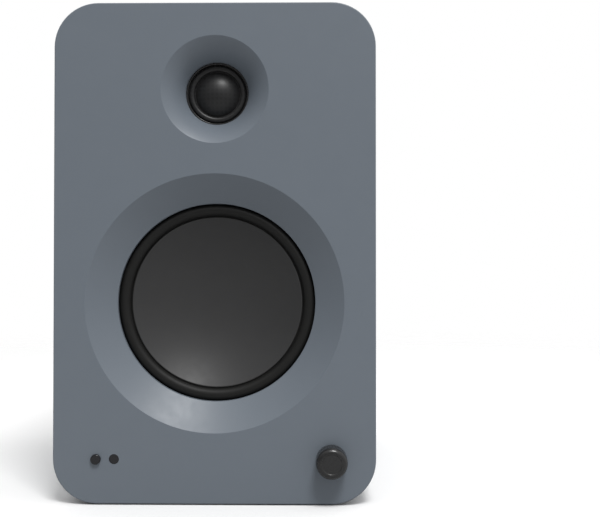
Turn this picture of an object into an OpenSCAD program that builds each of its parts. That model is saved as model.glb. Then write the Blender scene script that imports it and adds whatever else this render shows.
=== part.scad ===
// Powered two-way bookshelf speaker, the unit of the pair that holds the amplifier.
// Millimetres, +Z up, the front faces -Y. The origin is the centre of the footprint on the floor.

/* [Cabinet] */
// Width of the cabinet
body_w = 175; // [165:1:240]
// Height of the cabinet without its feet
body_h = 272; // [262:1:360]
// Depth of the cabinet from front face to rear face
body_d = 208; // [180:1:300]
// Radius of the four long corners
corner_r = 24; // [18:1:30]
// Thickness of the cabinet wall
wall = 12; // [9:0.5:15]
// Thickness of the front baffle
baffle_t = 20; // [20:0.5:25]
// Thickness of the rear panel
rear_t = 12; // [9:0.5:16]
// Thickness of the window brace
brace_t = 12; // [8:1:18]
// Width of the rim left around the brace's window
brace_rim = 22; // [14:1:26]

/* [Feet] */
// Radius of a rubber foot
foot_r = 9; // [6:0.5:12]
// Thickness of a rubber foot
foot_t = 2.6; // [1.6:0.2:4]
// How far a foot stands out of its pocket
foot_stand = 0.6; // [0.4:0.1:2]
// Distance from the baffle or rear panel to a foot's centre
foot_inset = 18; // [12:1:30]

/* [Woofer] */
// Height of the woofer's axis above the cabinet's underside
woofer_h = 108.5; // [104:0.5:125]
// Radius of the cone at its edge
cone_r = 47.4; // [40:0.1:52]
// Depth of the dished cone
dish_depth = 14; // [10:0.5:17]
// Radius of the half-round roll of the surround
roll_r = 3.5; // [2.5:0.1:4.5]
// Width of the conical bevel in front of the woofer
bevel_w = 15.7; // [10:0.1:18]
// Depth of that bevel
bevel_depth = 11; // [8:0.5:12]
// Straight lip behind the bevel
lip_depth = 2.5; // [1.5:0.5:3]
// Thickness of the foam gasket
gasket_t = 3; // [1:0.5:3]
// Thickness of the basket's flange
flange_t = 3.5; // [2:0.5:4]
// Radius of the ring of woofer screws beyond the bevel's rim
screw_ring = 7.3; // [6.5:0.1:8]
// Outer radius of the voice coil former
coil_r = 12.9; // [10:0.1:16]
// Travel of the cone each way
cone_travel = 4; // [2:0.5:5]
// Radius of the woofer's magnet
magnet_r = 40; // [34:1:45]

/* [Tweeter] */
// Distance from the cabinet's top to the tweeter's axis
tweeter_drop = 47.2; // [44:0.1:50]
// Radius of the waveguide at the front face
guide_r = 29.4; // [26:0.1:32]
// Radius of the waveguide's throat
throat_r = 17.5; // [17:0.1:20]
// Depth of the waveguide
guide_depth = 12.6; // [9:0.1:13]
// Slope of the waveguide's wall where it leaves the front face, in degrees
guide_slope = 33; // [20:1:40]
// Radius of the soft dome
dome_r = 12.4; // [10:0.1:13]
// Height of the soft dome
dome_h = 5.4; // [3:0.1:6]
// Radius of the tweeter's motor
motor_r = 21.5; // [20:0.5:22.5]

/* [Front controls] */
// Distance from the cabinet's side to the knob's centre
knob_inset = 24.1; // [22:0.1:40]
// Height of the knob and the windows above the cabinet's underside
control_h = 24.1; // [24:0.1:30]
// Radius of the volume knob
knob_r = 8.4; // [6:0.1:9]
// How far the knob stands proud of the front face
knob_proud = 12; // [9:0.5:16]
// Travel of the knob when it is pressed
knob_push = 0.6; // [0.3:0.1:0.8]
// Distance from the cabinet's side to the receiver lens
lens_inset = 23.4; // [23:0.1:36]
// Distance between the receiver lens and the status window
lens_pitch = 9.8; // [8:0.1:12]
// Radius of the lens and the window
lens_r = 2.7; // [2:0.1:3]

/* [Rear] */
// Width of the amplifier's plate
plate_w = 140; // [130:1:150]
// Height of the amplifier's plate
plate_h = 160; // [155:1:170]
// Thickness of the amplifier's plate
plate_t = 2.5; // [2:0.5:4]
// Height of the amplifier plate's lower edge above the cabinet's underside
plate_low = 16; // [14:1:24]
// Inner radius of the bass port
port_r = 17.5; // [12:0.5:20]
// Length of the bass port
port_len = 100; // [70:1:120]
// Distance from the cabinet's top to the port's axis
port_drop = 50; // [46:1:56]
// Travel of a terminal cap as it is unscrewed
cap_travel = 4; // [2:0.5:5]

/* [Hidden] */
$fn = 96;
eps = 0.01;            // overshoot of a cut past a face
slip = 0.05;           // radial clearance of a running fit
fit = 0.3;             // clearance of a seated piece
paint = "slategray";

// Planes and places
base_z = foot_stand;                    // underside of the cabinet
top_z = base_z + body_h;
front_y = -body_d / 2;
rear_y = body_d / 2;
baffle_y = front_y + baffle_t;          // rear face of the baffle
panel_y = rear_y - rear_t;              // inner face of the rear panel
inner_w = body_w - 2 * wall;
woofer_z = base_z + woofer_h;
tweeter_z = top_z - tweeter_drop;
control_z = base_z + control_h;
knob_x = body_w / 2 - knob_inset;
lens_x = -body_w / 2 + lens_inset;
window_x = lens_x + lens_pitch;
port_z = top_z - port_drop;
plate_z = base_z + plate_low + plate_h / 2;

// Woofer: depths are counted from the flange's front face, backwards
rim_r = cone_r + 0.3 + 2 * roll_r;      // opening of the bevel's rim
bevel_r = rim_r + bevel_w;
flange_r = rim_r + 11.3;
shoulder_d = bevel_depth + lip_depth;   // seat of the gasket, from the front face
flange_d = shoulder_d + gasket_t;
woofer_y = front_y + flange_d;
skin = 0.6;                             // thickness of surround, spider and cap skins
cone_t = 0.9;
lip_w = 0.5;                            // flat lip around the cone
roll_mid = cone_r + 0.6 + roll_r;       // radius of the roll's crest
dish_r = cone_r - lip_w;
dish_sphere = (pow(dish_r, 2) + pow(dish_depth, 2)) / (2 * dish_depth);
lip_front = -skin - cone_t;             // front of the cone's lip
spider_d = 21.9;
spider_r = 35;
ledge_d = spider_d + skin;
top_plate_d = 32;
top_plate_t = 5;
magnet_d = top_plate_d + top_plate_t;
magnet_t = 15;
pole_plate_d = magnet_d + magnet_t;
pole_plate_t = 5;
former_t = 0.3;
coil_t = 0.6;
gap = 0.4;                              // air on each side of the coil
former_front = dish_depth;
former_back = magnet_d + cone_travel;
woofer_screw_r = rim_r + screw_ring;
woofer_screws_n = 6;
pilot_r = 1.6;
screw_bite = 4;                         // how far a woofer screw enters the baffle
tag_d = top_plate_d - 2;                // front of the basket's base, under the terminal tag

// Tweeter: depths are counted from its faceplate's front face, backwards
tweeter_seat = 14;                      // seat of the faceplate, from the front face
tweeter_y = front_y + tweeter_seat;
face_r = guide_r + 1.1;
face_t = 2;
dome_base = face_t + skin;
tweeter_plate_t = 3;
tweeter_magnet_t = 8;
tweeter_magnet_d = dome_base + tweeter_plate_t;
tweeter_pole_d = tweeter_magnet_d + tweeter_magnet_t;
tweeter_pole_t = 4;
cup_len = 12;
cup_r = motor_r - 3.5;
tweeter_screw_r = face_r - 4.5;
tweeter_roll_r = 1.75;
tweeter_roll_mid = dome_r + 0.3 + tweeter_roll_r;

// Front controls: depths are counted from the front face, backwards
skin_front = 8;                         // baffle left in front of the pockets
knob_gap = knob_push + 0.4;
shaft_r = 3;
bush_r = 3.5;
collar_r = 3.9;
encoder_w = 12;
encoder_d = skin_front + 0.4;
encoder_t = 7.1;
cavity_r = 4.4;
cavity_d = 10;
collar_d = cavity_d + 0.7;
plunger_d = collar_d + 0.8;
board_t = 1.6;
board_d = encoder_d + encoder_t;        // front of the control board
sensor_d = 14;                          // front of the sensor board
pocket_w = 24;

// Rear: places on the plate, counted from its centre; +x is the speaker's own +X
jack_row = 52;
post_row = 0;
mains_row = -50;
rca_r = 4.15;
rca_core_r = 3.4;
pin_bore_r = 1.62;
rca_x = [48, 28, -46];
aux_x = 8;
aux_bore_r = 1.8;
optical_x = -14;
post_x = [9.5, -9.5];
stud_r = 3;
banana_r = 2.02;
inlet_x = -36;
rocker_x = 36;
inlet_w = 20.4;
inlet_h = 11.6;
inlet_deep = 18;
pin_x = 4.3;
pin_r = 1.2;
rocker_w = 12.9;
rocker_h = 18.8;
rocker_deep = 15;
rocker_angle = 9;
optical_w = 11;
optical_open = 8.6;
shutter_t = 0.8;
shutter_pin_r = 0.6;
shutter_z = optical_open / 2 - 0.9;     // height of the shutter's pivot above the socket's middle
shutter_out = 0.3;
base_t = 2.5;                           // terminal base, proud of the plate
insert_r = 4.4;
cap_r = 6.4;
cap_from = base_t + 0.2;
cap_to = base_t + 10;
port_flare = 12.5;                      // radius of the port's rounded mouth
port_lip = 6;
port_skin = 2.2;
jack_deep = 15.5;                       // plate's outer face to the amplifier board
psu_deep = 28.5;                        // plate's outer face to the supply board
amp_board_h = 62;
amp_board_z = 40;
psu_board_h = 54;
psu_board_z = -42;
sub_board_w = 116;
cutout_w = plate_w - 16;
cutout_h = plate_h - 16;

// ---------------------------------------------------------------- helpers
// Places children at a depth behind the front face; their +Z then points backwards
module behind(x, z, depth) {
    translate([x, front_y + depth, z]) rotate([-90, 0, 0]) children();
}
// Places children on the amplifier plate's outer face; their +Z then points out of the rear
module on_plate(x, z, out = 0) {
    translate([x, rear_y + out, plate_z + z]) rotate([-90, 0, 0]) children();
}
// Round-cornered rectangle of exact arcs
module rounded(w, h, r) {
    square([w - 2 * r, h], center = true);
    square([w, h - 2 * r], center = true);
    for (x = [-1, 1], y = [-1, 1]) translate([x * (w / 2 - r), y * (h / 2 - r)]) circle(r);
}
module slab(w, h, r, t) {
    linear_extrude(t) rounded(w, h, r);
}
module ring(r_in, r_out, from, to) {
    translate([0, 0, from]) difference() {
        cylinder(r = r_out, h = to - from);
        translate([0, 0, -eps]) cylinder(r = r_in, h = to - from + 2 * eps);
    }
}
// Block centred in x and y between two depths
module block(w, h, from, to) {
    translate([-w / 2, -h / 2, from]) cube([w, h, to - from]);
}
module around(n, r, start = 0) {
    for (i = [0:n - 1]) rotate(start + i * 360 / n) translate([r, 0, 0]) children();
}
// Screw whose head starts at z = 0 and whose shank runs towards -Z
module screw(r, length, head_r, head_t) {
    translate([0, 0, -length]) cylinder(r = r, h = length, $fn = 24);
    difference() {
        cylinder(r = head_r, h = head_t, $fn = 32);
        translate([0, 0, head_t / 2]) for (a = [0, 90]) rotate(a) block(head_r * 1.2, 0.8, 0, head_t);
    }
}
function arc(cx, cy, r, a0, a1, n) =
    [for (i = [0:n]) let (a = a0 + (a1 - a0) * i / n) [cx + r * cos(a), cy + r * sin(a)]];
function reversed(list) = [for (i = [len(list) - 1:-1:0]) list[i]];
// Depth of the dish below its edge at a radius
function sag(r) = sqrt(pow(dish_sphere, 2) - pow(r, 2)) - (dish_sphere - dish_depth);

// Tube along a hand-made route, smoothed once
function smooth(p) = let (n = len(p)) concat([p[0]],
    [for (i = [0:n - 2]) each [p[i] * 0.75 + p[i + 1] * 0.25, p[i] * 0.25 + p[i + 1] * 0.75]], [p[n - 1]]);
function unit(v) = v / norm(v);
function heading(p, i) = unit(p[min(i + 1, len(p) - 1)] - p[max(i - 1, 0)]);
module tube(route, r) {
    sides = 8;
    path = smooth(smooth(route));
    n = len(path);
    points = [for (i = [0:n - 1])
        let (t = heading(path, i), u = unit(cross([1, 0, 0], t)), v = cross(t, u))
        for (k = [0:sides - 1]) path[i] + r * (cos(k * 360 / sides) * u + sin(k * 360 / sides) * v)];
    walls = [for (i = [0:n - 2], k = [0:sides - 1]) let (j = (k + 1) % sides)
        [i * sides + j, i * sides + k, (i + 1) * sides + k, (i + 1) * sides + j]];
    polyhedron(points, concat([[for (k = [0:sides - 1]) k]], walls,
        [[for (k = [sides - 1:-1:0]) (n - 1) * sides + k]]), convexity = 8);
}

// ---------------------------------------------------------------- cabinet
// The waveguide's wall: a curve that leaves the front face at guide_slope and steepens inwards
function waveguide_wall(steps) = let (
        mouth = [guide_r, 0],
        throat = [throat_r, guide_depth],
        bend = atan2(guide_depth, guide_r - throat_r) - guide_slope,
        reach = norm(throat - mouth) / (2 * cos(bend)),
        control = mouth + reach * [-cos(guide_slope), sin(guide_slope)])
    [for (i = [0:steps]) let (t = i / steps)
        pow(1 - t, 2) * mouth + 2 * t * (1 - t) * control + t * t * throat];
module waveguide_cut() {
    rotate_extrude() polygon(concat([[0, -1], [guide_r, -1]], waveguide_wall(14),
        [[throat_r, tweeter_seat], [face_r + fit, tweeter_seat],
         [face_r + fit, baffle_t + 1], [0, baffle_t + 1]]));
}
module woofer_cut() {
    rotate_extrude() polygon([[0, -1], [bevel_r, -1], [bevel_r, 0], [rim_r, bevel_depth],
        [rim_r, shoulder_d], [flange_r + fit, shoulder_d], [flange_r + fit, baffle_t + 1],
        [0, baffle_t + 1]]);
    around(woofer_screws_n, woofer_screw_r, 30) translate([0, 0, shoulder_d - screw_bite])
        cylinder(r = pilot_r, h = screw_bite + 1, $fn = 24);
}
module front_baffle() {
    sensor_x = (lens_x + window_x) / 2;
    color(paint) difference() {
        behind(0, base_z + body_h / 2, 0) slab(body_w, body_h, corner_r, baffle_t);
        behind(0, woofer_z, 0) woofer_cut();
        behind(0, tweeter_z, 0) {
            waveguide_cut();
            around(3, tweeter_screw_r, 90) translate([0, 0, tweeter_seat - 3])
                cylinder(r = 1.2, h = 4, $fn = 24);
        }
        behind(knob_x, control_z, 0) {
            translate([0, 0, -1]) cylinder(r = bush_r + 0.2, h = skin_front + 2);
            difference() {
                block(pocket_w, pocket_w, skin_front, baffle_t + 1);
                control_bosses();
            }
            board_corners() translate([0, 0, board_d - 5]) cylinder(r = 0.9, h = 6, $fn = 24);
        }
        behind(lens_x, control_z, -1) cylinder(r = lens_r + slip, h = skin_front + 2);
        behind(window_x, control_z, -1) cylinder(r = lens_r + slip, h = skin_front + 2);
        behind(sensor_x, control_z, 0) {
            difference() {
                block(pocket_w + 4, pocket_w - 8, skin_front, baffle_t + 1);
                sensor_bosses();
            }
            sensor_corners() translate([0, 0, sensor_d - 5]) cylinder(r = 0.9, h = 6, $fn = 24);
        }
    }
}
module board_corners() {
    for (s = [-1, 1]) translate([s * 8.4, -s * 8.4, 0]) children();
}
module control_bosses() {
    board_corners() translate([0, 0, skin_front - 1]) cylinder(r = 2.3, h = board_d - skin_front + 1);
}
module sensor_corners() {
    for (s = [-1, 1]) translate([s * 11.3, 0, 0]) children();
}
module sensor_bosses() {
    sensor_corners() translate([0, 0, skin_front - 1]) cylinder(r = 2.3, h = sensor_d - skin_front + 1);
}
module foot_places() {
    for (x = [-1, 1], y = [baffle_y + foot_inset, panel_y - foot_inset])
        translate([x * (body_w / 2 - corner_r - foot_r - 1), y, 0]) children();
}
module cabinet_shell() {
    color(paint) difference() {
        behind(0, base_z + body_h / 2, baffle_t) slab(body_w, body_h, corner_r, body_d - baffle_t - rear_t);
        behind(0, base_z + body_h / 2, baffle_t - 1)
            slab(inner_w, body_h - 2 * wall, corner_r - wall, body_d - baffle_t - rear_t + 2);
        foot_places() translate([0, 0, -1]) cylinder(r = foot_r + fit, h = 1 + foot_t);
    }
}
module rear_panel() {
    color(paint) difference() {
        behind(0, base_z + body_h / 2, body_d - rear_t) slab(body_w, body_h, corner_r, rear_t);
        on_plate(0, 0, -plate_t) slab(plate_w + fit, plate_h + fit, 6, plate_t + 1);
        on_plate(0, 0, -rear_t - 1) slab(cutout_w, cutout_h, 4, rear_t + 2);
        on_plate(0, 0) plate_screw_places() translate([0, 0, -rear_t + 2]) cylinder(r = 1.5, h = rear_t, $fn = 24);
        translate([0, rear_y, port_z]) rotate([-90, 0, 0]) {
            translate([0, 0, -rear_t - 1]) cylinder(r = port_r + port_flare + 1, h = rear_t + 2);
            translate([0, 0, -port_skin]) cylinder(r = port_r + port_flare + port_lip + fit, h = 4);
        }
    }
}
module window_brace() {
    brace_y = front_y + 84;             // between the driver's magnet and the amplifier
    color("burlywood") difference() {
        translate([0, brace_y, base_z + body_h / 2]) rotate([-90, 0, 0])
            slab(inner_w, body_h - 2 * wall, corner_r - wall, brace_t);
        translate([0, brace_y - 1, base_z + body_h / 2]) rotate([-90, 0, 0])
            slab(inner_w - 2 * brace_rim, body_h - 2 * wall - 2 * brace_rim, 10, brace_t + 2);
    }
}
module wadding_pads() {
    pad_t = 10;
    pad_d = 60;
    pad_low = woofer_z - 20;
    pad_top = top_z - corner_r - 1.5;   // the flat of the side wall ends at the corner's radius
    color("whitesmoke") for (s = [-1, 1])
        translate([s * (inner_w / 2 - pad_t / 2) - pad_t / 2, 8, pad_low]) cube([pad_t, pad_d, pad_top - pad_low]);
}
module rubber_feet() {
    color("dimgray") foot_places() cylinder(r = foot_r, h = foot_t);
}

// ---------------------------------------------------------------- woofer
module at_woofer() {
    translate([0, woofer_y, woofer_z]) rotate([-90, 0, 0]) children();
}
module woofer_basket() {
    wall_t = 2.4;
    top_r = rim_r + 0.7;
    low_r = spider_r + 1;
    arms = 6;
    color("dimgray") at_woofer() difference() {
        rotate_extrude() polygon([[top_r, 0], [flange_r, 0], [flange_r, flange_t],
            [top_r + wall_t, flange_t], [low_r + wall_t, ledge_d + 2], [30, ledge_d + 2],
            [30, top_plate_d - 2], [magnet_r - 4, top_plate_d - 2], [magnet_r - 4, top_plate_d],
            [coil_r + 3, top_plate_d], [coil_r + 3, top_plate_d - 2], [28, top_plate_d - 2],
            [28, ledge_d], [low_r, ledge_d], [top_r, 1.5]]);
        around(woofer_screws_n, woofer_screw_r, 30) translate([0, 0, -1]) cylinder(r = 2.2, h = flange_t + 2, $fn = 24);
        for (i = [0:arms - 1]) rotate(i * 360 / arms - 19) rotate_extrude(angle = 38)
            polygon([[low_r - 3, 7], [top_r + 5, 7], [top_r + 5, spider_d - 3], [low_r - 3, spider_d - 3]]);
    }
}
module woofer_gasket() {
    color("black") at_woofer() difference() {
        ring(rim_r + 4.4, flange_r, -gasket_t, 0);
        around(woofer_screws_n, woofer_screw_r, 30) translate([0, 0, -gasket_t - 1])
            cylinder(r = 2.2, h = gasket_t + 2, $fn = 24);
    }
}
module woofer_surround() {
    outer = arc(roll_mid, -skin, roll_r, 180, 360, 24);
    inner = arc(roll_mid, -skin, roll_r - skin, 360, 180, 24);
    color("black") at_woofer() rotate_extrude() polygon(concat(
        [[dish_r, 0], [dish_r, -skin]], outer, [[rim_r + 4, -skin], [rim_r + 4, 0],
         [roll_mid + roll_r - skin, 0]], inner, [[roll_mid - roll_r + skin, 0]]));
}
module woofer_cone() {
    steps = 20;
    front = [for (i = [0:steps]) let (r = dish_r * (1 - i / steps)) [r, lip_front + sag(r)]];
    collar = coil_r + 1.4;
    color("black") at_woofer() rotate_extrude() polygon(concat(
        [[cone_r, lip_front + cone_t], [cone_r, lip_front]], front,
        [[0, lip_front + dish_depth + cone_t]],
        [for (i = [1:5]) let (r = coil_r * i / 5) [r, lip_front + sag(r) + cone_t]],
        [[coil_r, former_front + 2], [collar, former_front + 2]],
        [for (i = [0:16]) let (r = collar + (dish_r - collar) * i / 16) [r, lip_front + sag(r) + cone_t]]));
}
module woofer_former() {
    color("goldenrod") at_woofer() ring(coil_r - former_t, coil_r, former_front, former_back);
}
module woofer_coil() {
    color("chocolate") at_woofer()
        ring(coil_r, coil_r + coil_t, top_plate_d - cone_travel, former_back);
}
module woofer_spider() {
    waves = 5;
    steps = 60;
    r0 = coil_r + 2;
    r1 = spider_r - 5;
    wave = [for (i = [0:steps]) let (r = r0 + (r1 - r0) * i / steps)
        [r, spider_d - 1.1 * pow(sin(180 * waves * i / steps), 2)]];
    lower = [for (p = reversed(wave)) p + [0, skin]];
    color("darkgoldenrod") at_woofer() rotate_extrude() polygon(concat(
        [[coil_r, spider_d + skin], [coil_r, spider_d]], wave,
        [[spider_r, spider_d], [spider_r, spider_d + skin]], lower));
}
module woofer_top_plate() {
    color("silver") at_woofer()
        ring(coil_r + coil_t + gap, magnet_r - 2, top_plate_d, top_plate_d + top_plate_t);
}
module woofer_magnet() {
    color("darkslategray") at_woofer() ring(coil_r + 5, magnet_r, magnet_d, magnet_d + magnet_t);
}
module woofer_pole_plate() {
    pole_r = coil_r - former_t - gap;
    color("silver") at_woofer() rotate_extrude() polygon([[4, top_plate_d], [pole_r, top_plate_d],
        [pole_r, pole_plate_d], [magnet_r - 2, pole_plate_d],
        [magnet_r - 2, pole_plate_d + pole_plate_t], [4, pole_plate_d + pole_plate_t]]);
}
module driver_terminals() {
    color("tan") {
        at_woofer() {
            translate([0, 2 - magnet_r, 0]) block(18, 12, tag_d - 2, tag_d);
            for (x = [-5, 5]) translate([x, -magnet_r - 3, 0]) block(6, 10, tag_d - 3, tag_d - 2);
        }
        at_tweeter() translate([0, motor_r + 3, 0]) block(10, 6, tweeter_magnet_d + 1, tweeter_magnet_d + 6);
    }
}
module woofer_screws() {
    color("gray") at_woofer() around(woofer_screws_n, woofer_screw_r, 30)
        translate([0, 0, flange_t]) screw(pilot_r, flange_t + gasket_t + screw_bite, 3.2, 2.2);
}

// ---------------------------------------------------------------- tweeter
module at_tweeter() {
    translate([0, tweeter_y, tweeter_z]) rotate([-90, 0, 0]) children();
}
module tweeter_faceplate() {
    color("black") at_tweeter() difference() {
        ring(tweeter_roll_mid + tweeter_roll_r + 0.3, face_r, 0, face_t);
        around(3, tweeter_screw_r, 90) translate([0, 0, -1]) cylinder(r = 1.5, h = face_t + 2, $fn = 24);
    }
}
module tweeter_surround() {
    crest = arc(tweeter_roll_mid, face_t, tweeter_roll_r, 180, 360, 16);
    under = arc(tweeter_roll_mid, face_t, tweeter_roll_r - skin / 2, 360, 180, 16);
    color("black") at_tweeter() rotate_extrude() polygon(concat(
        [[dome_r, dome_base], [dome_r, face_t]], crest,
        [[motor_r - 1, face_t], [motor_r - 1, dome_base], [tweeter_roll_mid + tweeter_roll_r - skin / 2, dome_base]],
        under, [[tweeter_roll_mid - tweeter_roll_r + skin / 2, dome_base]]));
}
module tweeter_dome() {
    ball = (pow(dome_r, 2) + pow(dome_h, 2)) / (2 * dome_h);
    half = asin(dome_r / ball);
    centre = face_t - dome_h + ball;
    color("black") at_tweeter() rotate_extrude() polygon(concat(
        arc(0, centre, ball, -90, -90 + half, 16), [[dome_r, dome_base], [dome_r - skin, dome_base]],
        arc(0, centre, ball - skin, -90 + half - 2, -90, 16)));
}
module tweeter_coil() {
    color("chocolate") at_tweeter()
        ring(dome_r - skin, dome_r, dome_base, dome_base + tweeter_plate_t + 0.8);
}
module tweeter_top_plate() {
    color("silver") at_tweeter()
        ring(dome_r + gap, motor_r, dome_base, dome_base + tweeter_plate_t);
}
module tweeter_magnet() {
    color("darkslategray") at_tweeter()
        ring(dome_r + 2, motor_r, tweeter_magnet_d, tweeter_magnet_d + tweeter_magnet_t);
}
module tweeter_pole_plate() {
    pole_r = dome_r - skin - gap;
    color("silver") at_tweeter() rotate_extrude() polygon([[4, dome_base], [pole_r, dome_base],
        [pole_r, tweeter_pole_d], [motor_r, tweeter_pole_d], [motor_r, tweeter_pole_d + tweeter_pole_t],
        [4, tweeter_pole_d + tweeter_pole_t]]);
}
module tweeter_rear_cup() {
    start = tweeter_pole_d + tweeter_pole_t;
    color("black") at_tweeter() difference() {
        translate([0, 0, start]) cylinder(r = cup_r, h = cup_len);
        translate([0, 0, start - eps]) cylinder(r = cup_r - 2, h = cup_len - 2);
    }
}
module tweeter_screws() {
    color("gray") at_tweeter() around(3, tweeter_screw_r, 90)
        translate([0, 0, face_t]) screw(1.2, face_t + 2.8, 2.4, 1.6);
}

// ---------------------------------------------------------------- front controls
module volume_knob() {
    fillet = 2.8;
    dish = 0.3;
    color("black") behind(knob_x, control_z, 0) difference() {
        rotate_extrude() polygon(concat([[0, -knob_gap], [knob_r, -knob_gap]],
            arc(knob_r - fillet, -knob_proud + fillet, fillet, 0, -90, 12),
            [[knob_r - fillet - 0.3, -knob_proud + dish], [0, -knob_proud + dish]]));
        translate([0, 0, -knob_proud + 3]) cylinder(r = shaft_r, h = knob_proud);
    }
}
module encoder_shaft() {
    color("silver") behind(knob_x, control_z, 0) {
        translate([0, 0, -knob_proud + 3]) cylinder(r = shaft_r, h = collar_d + knob_proud - 3);
        translate([0, 0, collar_d]) cylinder(r = collar_r, h = plunger_d - collar_d);
    }
}
module encoder_plunger() {
    color("white") behind(knob_x, control_z, plunger_d) cylinder(r = collar_r, h = 1.2);
}
module encoder_body() {
    color("dimgray") behind(knob_x, control_z, 0) difference() {
        union() {
            block(encoder_w, encoder_w, encoder_d, board_d);
            translate([0, 0, 3]) cylinder(r = bush_r, h = encoder_d);
        }
        translate([0, 0, 2]) cylinder(r = shaft_r + slip, h = cavity_d);
        translate([0, 0, cavity_d]) cylinder(r = cavity_r, h = board_d - cavity_d - 1);
    }
}
module control_board() {
    color("darkgreen") behind(knob_x, control_z, 0) difference() {
        block(pocket_w - 1.6, pocket_w - 1.6, board_d, board_d + board_t);
        board_corners() translate([0, 0, board_d - 1]) cylinder(r = 1.1, h = board_t + 2, $fn = 24);
    }
}
module window_pin(x, proud) {
    behind(x, control_z, 0) {
        translate([0, 0, -proud]) cylinder(r = lens_r, h = skin_front + proud);
        translate([0, 0, skin_front]) cylinder(r = lens_r + 0.9, h = 1);
    }
}
module receiver_lens() {
    color("black") window_pin(lens_x, 1.8);
}
module status_window() {
    color("black") window_pin(window_x, -0.3);
}
module sensor_board() {
    sensor_x = (lens_x + window_x) / 2;
    color("darkgreen") {
        behind(sensor_x, control_z, 0) difference() {
            block(pocket_w + 3, pocket_w - 9.6, sensor_d, sensor_d + board_t);
            sensor_corners() translate([0, 0, sensor_d - 1]) cylinder(r = 1.1, h = board_t + 2, $fn = 24);
        }
        behind(lens_x, control_z, 0) block(5, 6, skin_front + 1.5, sensor_d);
        behind(window_x, control_z, skin_front + 1.5) cylinder(r = 1.5, h = sensor_d - skin_front - 1.5);
    }
}
module board_screws() {
    sensor_x = (lens_x + window_x) / 2;
    color("gray") {
        behind(knob_x, control_z, board_d + board_t) board_corners() screw(0.9, board_t + 4, 1.7, 1.2);
        behind(sensor_x, control_z, sensor_d + board_t) sensor_corners() screw(0.9, board_t + 4, 1.7, 1.2);
        on_plate(0, amp_board_z, -jack_deep - board_t) amp_corners() mirror([0, 0, 1]) screw(1.2, board_t + 5, 2.4, 1.6);
        on_plate(0, psu_board_z, -psu_deep - board_t) psu_corners() mirror([0, 0, 1]) screw(1.2, board_t + 5, 2.4, 1.6);
    }
}

// ---------------------------------------------------------------- rear
module plate_screw_places() {
    for (x = [-1, 1], z = [-1, -1 / 3, 1 / 3, 1]) translate([x * (plate_w / 2 - 4), z * (plate_h / 2 - 5), 0]) children();
}
module amp_corners() {
    for (x = [-1, 1], z = [-1, 1]) translate([x * (sub_board_w / 2 - 5), z * (amp_board_h / 2 - 5), 0]) children();
}
module psu_corners() {
    for (x = [-1, 1], z = [-1, 1]) translate([x * (sub_board_w / 2 - 5), z * (psu_board_h / 2 - 5), 0]) children();
}
module amp_plate() {
    color("dimgray") difference() {
        on_plate(0, 0, -plate_t) slab(plate_w, plate_h, 6, plate_t);
        on_plate(0, 0) plate_screw_places() translate([0, 0, -plate_t - 1]) cylinder(r = 1.9, h = plate_t + 2, $fn = 24);
        for (x = rca_x) on_plate(x, jack_row, -plate_t - 1) cylinder(r = rca_r + 0.2, h = plate_t + 2);
        on_plate(aux_x, jack_row, -plate_t - 1) cylinder(r = 3.2, h = plate_t + 2);
        on_plate(optical_x, jack_row, 0) block(optical_w + 0.3, optical_w + 0.3, -plate_t - 1, 1);
        for (x = post_x) on_plate(x, post_row, -plate_t - 1) cylinder(r = stud_r + 2.2, h = plate_t + 2);
        on_plate(inlet_x, mains_row, 0) block(inlet_w + 0.3, inlet_h + 0.3, -plate_t - 1, 1);
        on_plate(rocker_x, mains_row, 0) block(rocker_w + 0.3, rocker_h + 0.3, -plate_t - 1, 1);
    }
}
module amp_plate_screws() {
    color("gray") on_plate(0, 0) plate_screw_places() screw(1.5, 9, 3, 1.8);
}
// Two-pin mains inlet
module inlet_mouth() {
    for (x = [-pin_x, pin_x]) translate([x, 0, 0]) circle(4.2);
    square([8.6, 6.4], center = true);
}
module mains_inlet() {
    color("black") on_plate(inlet_x, mains_row) difference() {
        union() {
            block(inlet_w, inlet_h, -inlet_deep, 0);
            slab(inlet_w + 6, inlet_h + 4, 3, 1.8);
        }
        translate([0, 0, -inlet_deep + 3]) linear_extrude(inlet_deep) inlet_mouth();
        for (x = [-pin_x, pin_x]) translate([x, 0, -inlet_deep - 1]) cylinder(r = pin_r, h = 6);
    }
}
module inlet_pins() {
    color("silver") on_plate(inlet_x, mains_row) for (x = [-pin_x, pin_x])
        translate([x, 0, -inlet_deep - 3]) cylinder(r = pin_r, h = inlet_deep + 0.5);
}
// Rocker switch
module rocker_housing() {
    color("black") on_plate(rocker_x, mains_row) difference() {
        union() {
            block(rocker_w, rocker_h, -rocker_deep, 0);
            slab(rocker_w + 3.6, rocker_h + 3.6, 1.5, 1.6);
        }
        block(rocker_w - 2.3, rocker_h - 1.8, -6, 3);
        translate([0, 0, -1]) rotate([0, 90, 0]) translate([0, 0, -rocker_w / 2 + 0.2]) cylinder(r = 1.2 + slip, h = rocker_w - 0.4);
    }
}
module power_rocker() {
    half = rocker_h / 2 - 1.9;
    color("black") on_plate(rocker_x, mains_row) translate([0, 0, -1]) rotate([rocker_angle, 0, 0]) {
        rotate([90, 0, 90]) translate([0, 0, -(rocker_w - 3) / 2]) linear_extrude(rocker_w - 3)
            polygon([[-half, -2.4], [half, -2.4], [half, 4.4], [0, 3.2], [-half, 4.4]]);
        rotate([0, 90, 0]) translate([0, 0, -rocker_w / 2 + 0.4]) cylinder(r = 1.2, h = rocker_w - 0.8);
    }
}
module rca_shells() {
    color("gold") for (x = rca_x) on_plate(x, jack_row) {
        ring(rca_core_r, rca_r, -jack_deep, 9);
        ring(rca_r, rca_r + 1.9, 0, 1.4);
    }
}
module rca_cores() {
    for (i = [0:2]) color(["red", "white", "darkviolet"][i])
        on_plate(rca_x[i], jack_row) ring(pin_bore_r, rca_core_r, -jack_deep, 8.4);
}
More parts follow.
